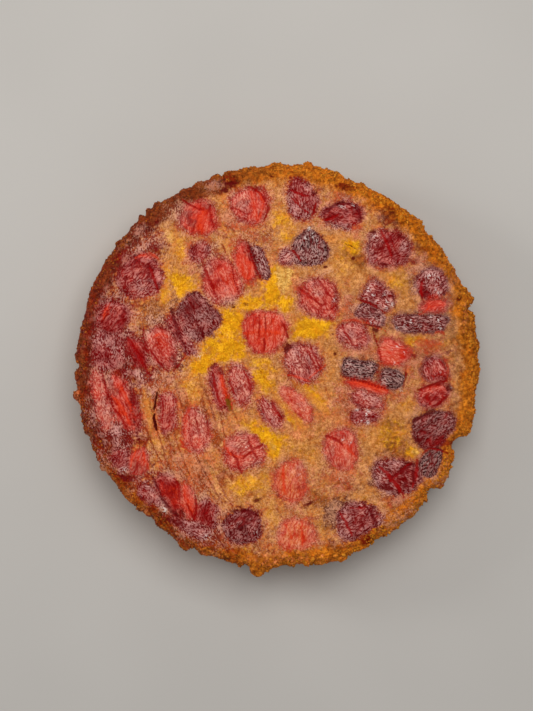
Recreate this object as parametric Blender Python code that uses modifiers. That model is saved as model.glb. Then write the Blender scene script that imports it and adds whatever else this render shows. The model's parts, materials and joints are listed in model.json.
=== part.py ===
"""Plum upside-down cake: a round, uncut sponge with pieces of plum baked into its flat top.

The cake rests on its base at z = 0, with the origin under the middle of its box. The sponge is one
turned body with a crumbled outline, and each piece of plum sits in its own pocket in the top.
"""

import math
from collections import namedtuple

import bmesh
import bpy
import numpy as np
from mathutils import Vector, noise

MM = 0.001

# Sponge
RADIUS = 114.2 * MM
HEIGHT = 40.0 * MM
SHOULDER_IN = 5.5 * MM
SHOULDER_DOWN = 6.5 * MM
SHOULDER_STEPS = 4
WALL_LEAN = 0.8 * MM
WALL_STEPS = 3
FOOT_IN = 5.0 * MM
FOOT_UP = 5.5 * MM
FOOT_STEPS = 3
SEGMENTS = 144
CRAG_SIZE = 11.0 * MM
CRAG_DEPTH = 1.3 * MM
CRUMB_DEPTH = 0.45 * MM
CRUMB_SEED = 41

# Plum pieces
POCKET_DEPTH = 6.5 * MM
CLEARANCE = 0.3 * MM
NEIGHBOUR_GAP = 1.3 * MM
RIM_MARGIN = 0.9 * MM
PROUD_LARGE = 1.5 * MM
PROUD_SMALL = 1.0 * MM
EDGE_BELOW_TOP = 0.3 * MM
UNDERSIDE_SHARE = 0.96
CUTTER_ABOVE = 3.0 * MM
WRINKLE = 0.45 * MM
FOLDS_ROUND = 3
OUTLINE_WOBBLE = 0.06
FRUIT_NORTH = -1.2 * MM
LARGE_FROM = 200.0
SIDES_LARGE = 16
SIDES_SMALL = 12
WALK_STEPS = 240
PLUM_SEED = 7

# Lumps and nicks of the outline: bearing in degrees, how far out in millimetres, half-width in degrees
Lump = namedtuple("Lump", "bearing out half_width")
LUMPS = (
    Lump(20, 2.4, 2.6),
    Lump(45, 0.8, 11),
    Lump(77, 1.5, 7),
    Lump(110, -1.5, 4),
    Lump(130, 0.7, 5),
    Lump(150, 0.5, 8),
    Lump(189, 1.0, 6),
    Lump(207, 0.7, 6),
    Lump(230, -3.2, 4),
    Lump(247, 0.5, 4),
    Lump(265, 3.2, 4),
    Lump(274, -1.4, 4),
    Lump(286, 1.1, 4),
    Lump(302, -1.4, 4),
    Lump(320, -2.2, 3),
    Lump(326, 1.2, 3),
    Lump(336, -3.6, 4),
    Lump(346, 0.8, 4),
)

# How a piece's plan is formed: the roundness of its superellipse, and how far it narrows towards one end
Form = namedtuple("Form", "power taper")
FORMS = {
    "round": Form(2.4, 0.0),
    "lens": Form(1.7, 0.0),
    "bar": Form(4.5, 0.0),
    "wedge": Form(2.2, 0.35),
    "tent": Form(2.4, 0.62),
}

# Flesh and skin: sRGB colour and roughness
Tone = namedtuple("Tone", "colour roughness")
TONES = {
    "coral": Tone((208, 78, 48), 0.35),
    "crimson": Tone((150, 26, 26), 0.3),
    "mauve": Tone((150, 78, 84), 0.38),
    "dark": Tone((70, 36, 46), 0.3),
}
SPONGE = Tone((196, 122, 52), 0.8)

# The pieces: millimetres east and north of the middle, length, width, and the long axis's turn in degrees
Plum = namedtuple("Plum", "east north long wide turn form tone")
PLUMS = (
    Plum(-44.5, 85, 20, 18, 0, "round", "coral"),
    Plum(-15.5, 92, 21, 19, 0, "round", "crimson"),
    Plum(-44, 66, 11, 9, 20, "round", "crimson"),
    Plum(-31.5, 49.5, 25, 20, 110, "round", "crimson"),
    Plum(-18, 60, 23, 12, 100, "lens", "coral"),
    Plum(-9.5, 60, 20, 7, 115, "bar", "dark"),
    Plum(13.5, 96.5, 23, 15, 105, "wedge", "crimson"),
    Plum(37, 87, 24, 15, 0, "lens", "dark"),
    Plum(18, 69, 20, 20, 90, "tent", "dark"),
    Plum(6, 63.5, 11, 8, 30, "lens", "mauve"),
    Plum(62.5, 67.5, 24, 20, 0, "round", "crimson"),
    Plum(23.5, 39.5, 25, 21, -50, "lens", "crimson"),
    Plum(57, 41, 17, 13, -28, "bar", "dark"),
    Plum(52.5, 30.5, 16, 10, -25, "bar", "dark"),
    Plum(87.5, 47, 19, 18, 60, "round", "crimson"),
    Plum(88.5, 35.5, 15, 8, 10, "lens", "coral"),
    Plum(81, 25.5, 30, 10, 0, "bar", "dark"),
    Plum(-77.5, 52, 25, 23, 30, "round", "crimson"),
    Plum(-93, 29, 19, 17, 60, "round", "crimson"),
    Plum(-45.5, 29, 24, 22, -45, "bar", "dark"),
    Plum(-65.5, 12, 25, 18, -65, "lens", "crimson"),
    Plum(-54.5, 19, 24, 8, -60, "bar", "crimson"),
    Plum(-79, 9.5, 18, 11, -60, "lens", "crimson"),
    Plum(-95.5, 10, 22, 17, 90, "round", "crimson"),
    Plum(-7, 21, 24, 23, 0, "round", "coral"),
    Plum(14.5, 3, 22, 19, -65, "round", "mauve"),
    Plum(-21, -9, 23, 13, -75, "lens", "mauve"),
    Plum(-33, -11, 24, 8, -75, "bar", "crimson"),
    Plum(-4, -25, 18, 9, -55, "lens", "crimson"),
    Plum(11, -20, 24, 10, -48, "lens", "coral"),
    Plum(43, 19, 19, 14, -30, "lens", "mauve"),
    Plum(65.5, 9, 18, 14, -20, "round", "coral"),
    Plum(46, -0.5, 19, 11, -10, "bar", "dark"),
    Plum(64.5, -6, 13, 11, -14, "bar", "dark"),
    Plum(51, -10.5, 25, 6, -14, "lens", "coral"),
    Plum(50.5, -18, 19, 10, -20, "lens", "mauve"),
    Plum(49, -27, 16, 8, 5, "lens", "crimson"),
    Plum(89, -1, 15, 13, -60, "round", "mauve"),
    Plum(88.5, -15, 18, 12, 20, "wedge", "crimson"),
    Plum(88.5, -34.5, 25, 20, 20, "round", "dark"),
    Plum(89, -54, 19, 16, 60, "round", "mauve"),
    Plum(-87, -20, 36, 15, -68, "lens", "crimson"),
    Plum(-99, -18, 36, 10, -78, "lens", "crimson"),
    Plum(-62, -25, 21, 9, 90, "bar", "crimson"),
    Plum(-46, -35, 25, 15, -80, "lens", "mauve"),
    Plum(-78.5, -52, 15, 12, 60, "tent", "coral"),
    Plum(-90, -52, 13, 12, 40, "round", "crimson"),
    Plum(-19, -47, 22, 19, 20, "round", "mauve"),
    Plum(7.5, -63.5, 21, 17, 90, "round", "coral"),
    Plum(-19.5, -89.5, 21, 19, 10, "round", "dark"),
    Plum(-41, -83, 16, 14, 80, "round", "crimson"),
    Plum(36, -45.5, 22, 18, 100, "round", "coral"),
    Plum(67.5, -61, 27, 19, -10, "round", "dark"),
    Plum(45.5, -86.5, 25, 21, 20, "round", "crimson"),
    Plum(-61, -70, 23, 14, -60, "lens", "crimson"),
    Plum(-72, -74, 20, 12, -55, "lens", "mauve"),
    Plum(-50, -76, 21, 8, -75, "lens", "coral"),
    Plum(10.5, -94, 20, 16, 0, "round", "coral"),
    Plum(-48.5, -91, 20, 9, -15, "bar", "mauve"),
)


def clear_scene():
    """Remove what the scene starts with."""
    for old in list(bpy.data.objects):
        bpy.data.objects.remove(old)


def new_collection(name, hidden=False):
    collection = bpy.data.collections.new(name)
    collection.hide_render = hidden
    bpy.context.scene.collection.children.link(collection)
    return collection


def linear(srgb):
    """The linear colour of an sRGB colour given from 0 to 255."""
    share = [value / 255 for value in srgb]
    return [s / 12.92 if s <= 0.04045 else ((s + 0.055) / 1.055) ** 2.4 for s in share]


def add_material(piece, tone):
    material = bpy.data.materials.new(piece.name)
    material.use_nodes = True
    shader = material.node_tree.nodes["Principled BSDF"]
    shader.inputs["Base Color"].default_value = (*linear(tone.colour), 1.0)
    shader.inputs["Roughness"].default_value = tone.roughness
    shader.inputs["Metallic"].default_value = 0.0
    piece.data.materials.append(material)


def new_object(name, mesh, collection, parent):
    piece = bpy.data.objects.new(name, mesh)
    collection.objects.link(piece)
    piece.parent = parent
    return piece


def outline_radius(bearing):
    """The cake's radius at a bearing in radians: a circle with each lump and nick added as a bell."""
    radius = np.full_like(bearing, RADIUS)
    for lump in LUMPS:
        apart = np.degrees(bearing) - lump.bearing
        apart = (apart + 180) % 360 - 180
        radius += lump.out * MM * np.exp(-((apart / lump.half_width) ** 2))
    return radius


def side_profile():
    """Radius and height from the top's edge over the rounded shoulder, down the wall and round the foot."""
    points = []
    for step in range(SHOULDER_STEPS + 1):
        angle = math.radians(90) * step / SHOULDER_STEPS
        inset = WALL_LEAN + SHOULDER_IN * (1 - math.sin(angle))
        points.append((RADIUS - inset, HEIGHT - SHOULDER_DOWN * (1 - math.cos(angle))))
    wall_top = HEIGHT - SHOULDER_DOWN
    for step in range(1, WALL_STEPS + 1):
        share = step / WALL_STEPS
        points.append((RADIUS - WALL_LEAN * (1 - share), wall_top + (FOOT_UP - wall_top) * share))
    for step in range(1, FOOT_STEPS + 1):
        angle = math.radians(90) * step / FOOT_STEPS
        points.append((RADIUS - FOOT_IN * (1 - math.cos(angle)), FOOT_UP * (1 - math.sin(angle))))
    return points


def turned_side(profile):
    """The profile turned round the Z axis by a Screw modifier, as a mesh open at the top and the base."""
    mesh = bpy.data.meshes.new("side_profile")
    corners = [(radius, 0.0, height) for radius, height in profile]
    mesh.from_pydata(corners, [(i, i + 1) for i in range(len(corners) - 1)], [])
    guide = bpy.data.objects.new("side_profile", mesh)
    bpy.context.scene.collection.objects.link(guide)
    screw = guide.modifiers.new("turn", "SCREW")
    screw.axis = "Z"
    screw.steps = SEGMENTS
    screw.render_steps = SEGMENTS
    screw.use_merge_vertices = True
    screw.merge_threshold = 0.00001
    bpy.context.view_layer.update()
    turned = bpy.data.meshes.new_from_object(guide.evaluated_get(bpy.context.evaluated_depsgraph_get()))
    bpy.data.objects.remove(guide)
    return turned


def crumble(mesh):
    """Move the side's points out or in: the outline, then crags of smooth noise, then loose crumbs."""
    chance = np.random.default_rng(CRUMB_SEED)
    points = np.empty(len(mesh.vertices) * 3, np.float32)
    mesh.vertices.foreach_get("co", points)
    points = points.reshape(-1, 3).astype(float)
    bearing = np.arctan2(points[:, 1], points[:, 0])
    radius = np.hypot(points[:, 0], points[:, 1])
    crag = np.array([noise.noise(Vector(point / CRAG_SIZE)) for point in points])
    crumb = chance.uniform(-1.0, 1.0, len(points))
    on_flat = (points[:, 2] < MM / 10) | (points[:, 2] > HEIGHT - MM / 10)
    rough = np.where(on_flat, 0.0, CRAG_DEPTH * crag + CRUMB_DEPTH * crumb)
    moved = radius + outline_radius(bearing) - RADIUS + rough
    points[:, 0] = moved * np.cos(bearing)
    points[:, 1] = moved * np.sin(bearing)
    mesh.vertices.foreach_set("co", points.astype(np.float32).ravel())


def add_sponge(collection, parent):
    """The cake's body: the crumbled side, closed with a flat top and a flat base."""
    mesh = turned_side(side_profile())
    mesh.name = "cake"
    crumble(mesh)
    body = bmesh.new()
    body.from_mesh(mesh)
    rims = [edge for edge in body.edges if edge.is_boundary]
    bmesh.ops.holes_fill(body, edges=rims, sides=0)
    bmesh.ops.recalc_face_normals(body, faces=body.faces)
    body.to_mesh(mesh)
    body.free()
    sponge = new_object("cake", mesh, collection, parent)
    add_material(sponge, SPONGE)
    return sponge


def level(plum, phase, points):
    """How far out points lie in a piece's plan: under 1 inside it, 1 on its outline, more outside.

    The plan is a superellipse that narrows towards one end, with three shallow waves round it.
    """
    form = FORMS[plum.form]
    turn = math.radians(plum.turn)
    east, north = np.moveaxis(points - middle_of(plum), -1, 0)
    along = (east * math.cos(turn) + north * math.sin(turn)) / (plum.long * MM / 2)
    across = (north * math.cos(turn) - east * math.sin(turn)) / (plum.wide * MM / 2)
    across = across / np.maximum(1 - form.taper * along, 0.15)
    out = (np.abs(along) ** form.power + np.abs(across) ** form.power) ** (1 / form.power)
    waves = 1 + OUTLINE_WOBBLE * np.sin(3 * np.arctan2(across, along) + phase)
    return out / waves


def offset(outline, distance):
    """A closed outline moved outwards, square to its sides, by a distance."""
    side = np.roll(outline, -1, axis=0) - outline
    normal = np.stack([side[:, 1], -side[:, 0]], axis=1)
    normal /= np.linalg.norm(normal, axis=1, keepdims=True)
    before = np.roll(normal, 1, axis=0)
    corner = normal + before
    corner /= np.linalg.norm(corner, axis=1, keepdims=True)
    reach = distance / np.maximum((corner * normal).sum(axis=1), 0.6)
    return outline + corner * reach[:, None]


def pressed_outline(number, sides, phases):
    """A piece's plan as points about its middle, from walking outwards until something stops it.

    A walk stops at the piece's own outline, where a neighbour's plan is nearer, or at the rim.
    """
    plum = PLUMS[number]
    middle = middle_of(plum)
    turn = math.radians(plum.turn)
    angle = np.arange(sides) * 2 * math.pi / sides
    along, across = plum.long * np.cos(angle), plum.wide * np.sin(angle)
    heading = np.stack(
        [
            along * math.cos(turn) - across * math.sin(turn),
            along * math.sin(turn) + across * math.cos(turn),
        ],
        axis=1,
    )
    heading /= np.linalg.norm(heading, axis=1, keepdims=True)
    walk = np.linspace(0, plum.long * MM, WALK_STEPS)
    points = middle + heading[:, None, :] * walk[None, :, None]
    own = level(plum, phases[number], points)
    free = own < 1
    for other, neighbour in enumerate(PLUMS):
        if other != number:
            free &= own < level(neighbour, phases[other], points)
    rim = outline_radius(np.arctan2(points[..., 1], points[..., 0]))
    free &= np.hypot(points[..., 0], points[..., 1]) < rim - WALL_LEAN - SHOULDER_IN - RIM_MARGIN
    steps = np.logical_and.accumulate(free, axis=1).sum(axis=1)
    outline = heading * walk[np.minimum(steps, WALK_STEPS - 1)][:, None]
    return offset(outline, -NEIGHBOUR_GAP / 2)


def by_bearing(vertex, sides):
    """Which of the evenly spaced directions round the Z axis a vertex lies in."""
    return round(math.atan2(vertex.co.y, vertex.co.x) / (2 * math.pi / sides)) % sides


def layers_of(plum):
    """The rings of a piece from its crown to its underside, as share of the plan, height and fold depth."""
    if is_large(plum):
        crown = [
            (0.0, 0.8 * PROUD_LARGE, 0.0),
            (0.5, PROUD_LARGE, WRINKLE),
            (0.86, 0.65 * PROUD_LARGE, WRINKLE / 2),
        ]
    else:
        crown = [(0.0, PROUD_SMALL, 0.0), (0.72, 0.85 * PROUD_SMALL, WRINKLE / 2)]
    under = [(1.0, -EDGE_BELOW_TOP, 0.0), (UNDERSIDE_SHARE, -POCKET_DEPTH, 0.0), (0.0, -POCKET_DEPTH, 0.0)]
    return crown + under


def is_large(plum):
    return plum.long * plum.wide > LARGE_FROM


def middle_of(plum):
    """A piece's middle: the fruit as a whole lies a little to one side of the sponge's middle."""
    return np.array([plum.east * MM, plum.north * MM + FRUIT_NORTH])


def add_plum(number, outline, phase, collection, parent):
    """A UV sphere reshaped to a piece: each ring takes the plan at a share of its size and a height."""
    plum = PLUMS[number]
    layers = layers_of(plum)
    sides = len(outline)
    step_down = math.pi / (len(layers) - 1)
    body = bmesh.new()
    bmesh.ops.create_uvsphere(body, u_segments=sides, v_segments=len(layers) - 1, radius=1.0)
    for vertex in body.verts:
        latitude = math.asin(max(-1.0, min(1.0, vertex.co.z)))
        share, height, fold = layers[round((math.pi / 2 - latitude) / step_down)]
        corner = by_bearing(vertex, sides)
        height += fold * math.sin(FOLDS_ROUND * 2 * math.pi * corner / sides + phase)
        vertex.co = (*(outline[corner] * share), height)
    name = f"plum_{number + 1:02d}"
    mesh = bpy.data.meshes.new(name)
    body.to_mesh(mesh)
    body.free()
    mesh.shade_smooth()
    piece = new_object(name, mesh, collection, parent)
    piece.location = (*middle_of(plum), HEIGHT)
    add_material(piece, TONES[plum.tone])


def add_pocket(number, outline, collection, parent):
    """A cylinder reshaped to a piece's plan with clearance all round, from under the piece to above it."""
    plum = PLUMS[number]
    sides = len(outline)
    wide = offset(outline, CLEARANCE)
    body = bmesh.new()
    bmesh.ops.create_cone(body, cap_ends=True, segments=sides, radius1=1.0, radius2=1.0, depth=2.0)
    for vertex in body.verts:
        height = CUTTER_ABOVE if vertex.co.z > 0 else -POCKET_DEPTH - CLEARANCE
        vertex.co = (*wide[by_bearing(vertex, sides)], height)
    name = f"pocket_{number + 1:02d}"
    mesh = bpy.data.meshes.new(name)
    body.to_mesh(mesh)
    body.free()
    pocket = new_object(name, mesh, collection, parent)
    pocket.location = (*middle_of(plum), HEIGHT)
    pocket.hide_render = True
    pocket.display_type = "WIRE"


def cut_pockets(sponge, pockets):
    cut = sponge.modifiers.new("pockets", "BOOLEAN")
    cut.operation = "DIFFERENCE"
    cut.operand_type = "COLLECTION"
    cut.collection = pockets
    cut.solver = "EXACT"


def box_middle(sponge):
    """The middle of the sponge's box, seen from above."""
    corners = np.array([vertex.co[:2] for vertex in sponge.data.vertices])
    return (corners.min(axis=0) + corners.max(axis=0)) / 2


def main():
    clear_scene()
    pieces = new_collection("plum_upside_down_cake")
    pockets = new_collection("pockets", hidden=True)
    base = bpy.data.objects.new("base", None)
    pieces.objects.link(base)
    sponge = add_sponge(pieces, base)
    chance = np.random.default_rng(PLUM_SEED)
    phases = chance.uniform(0, 2 * math.pi, len(PLUMS))
    for number, plum in enumerate(PLUMS):
        sides = SIDES_LARGE if is_large(plum) else SIDES_SMALL
        outline = pressed_outline(number, sides, phases)
        add_plum(number, outline, phases[number], pieces, base)
        add_pocket(number, outline, pockets, base)
    cut_pockets(sponge, pockets)
    east, north = box_middle(sponge)
    base.location = (-east, -north, 0.0)


main()
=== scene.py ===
"""Plum upside-down cake: the looks of its sponge, plum pieces and crumbs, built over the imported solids.

Lengths are in metres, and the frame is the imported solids' own: +Z up, the cake resting on z = 0. Where
a table gives a place as x and y, they are pixels of the 533 x 711 photograph, which from_photo() turns
into metres on the cake's top.
"""

import json
import math
from collections import namedtuple
from itertools import product

import bpy
import numpy as np
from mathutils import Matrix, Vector


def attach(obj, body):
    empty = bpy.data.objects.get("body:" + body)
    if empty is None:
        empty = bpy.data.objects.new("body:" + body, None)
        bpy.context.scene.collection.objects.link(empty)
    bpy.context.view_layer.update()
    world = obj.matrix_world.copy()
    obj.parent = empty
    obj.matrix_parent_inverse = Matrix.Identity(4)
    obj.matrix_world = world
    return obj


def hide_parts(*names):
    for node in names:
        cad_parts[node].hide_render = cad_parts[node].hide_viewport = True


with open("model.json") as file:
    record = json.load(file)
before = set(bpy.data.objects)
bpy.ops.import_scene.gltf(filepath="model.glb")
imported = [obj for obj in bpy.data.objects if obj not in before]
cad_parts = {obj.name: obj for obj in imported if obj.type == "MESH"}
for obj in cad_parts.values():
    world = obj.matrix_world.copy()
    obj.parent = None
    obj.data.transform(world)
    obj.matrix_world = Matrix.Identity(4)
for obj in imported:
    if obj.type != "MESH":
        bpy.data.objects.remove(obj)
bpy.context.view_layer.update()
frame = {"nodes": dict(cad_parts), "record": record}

bl_info = {
    "name": "Plum upside-down cake",
    "version": (1, 0, 0),
    "blender": (4, 5, 0),
    "location": "View3D > Sidebar > Cake",
    "description": "Builds a baked upside-down cake with plum pieces in its top",
    "category": "Add Mesh",
}

MM = 0.001
TOP = 40.0 * MM
PLUM_NODES = sorted(name for name in frame["nodes"] if name.startswith("plum_"))

# The photograph's frame, and where the cake lies in it
IMAGE_WIDTH, IMAGE_HEIGHT = 533, 711
PIXEL = 0.565 * MM
ORIGIN_X, ORIGIN_Y = 276.8, 368.1

# The sponge's section, as the solid has it
SHOULDER_IN = 5.5 * MM
SHOULDER_DOWN = 6.5 * MM
WALL_LEAN = 0.8 * MM
FOOT_IN = 5.0 * MM
FOOT_UP = 5.5 * MM
PLUM_EDGE_DROP = 0.3 * MM

# How far the crumbly crust stands out from the solid's wall
CRUST_OUT = 1.3 * MM

# How much of a lump's or notch's width and reach in EDGE the crust's own bell takes
EDGE_SPREAD = 1.1
EDGE_SHARE = 0.8

# Noise along the outline, and the noise that gathers crumbs, are read on circles of these radii
OUTLINE_CIRCLE = 114 * MM
CRUMB_CIRCLE = 110 * MM

# Where the looks change, from none at the first place to all at the second: eastings for the west, northings
# and eastings for the fibrous south-west, and distances past the flat of the top for the rim and its crust
WEST_FADE = (30 * MM, -60 * MM)
SOUTH_FADE = (10 * MM, -25 * MM)
SOUTH_WEST_FADE = (0, -40 * MM)
RIM_FADE = (-8 * MM, 1.5 * MM)
CRUST_FADE = (-3 * MM, 3 * MM)

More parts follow.
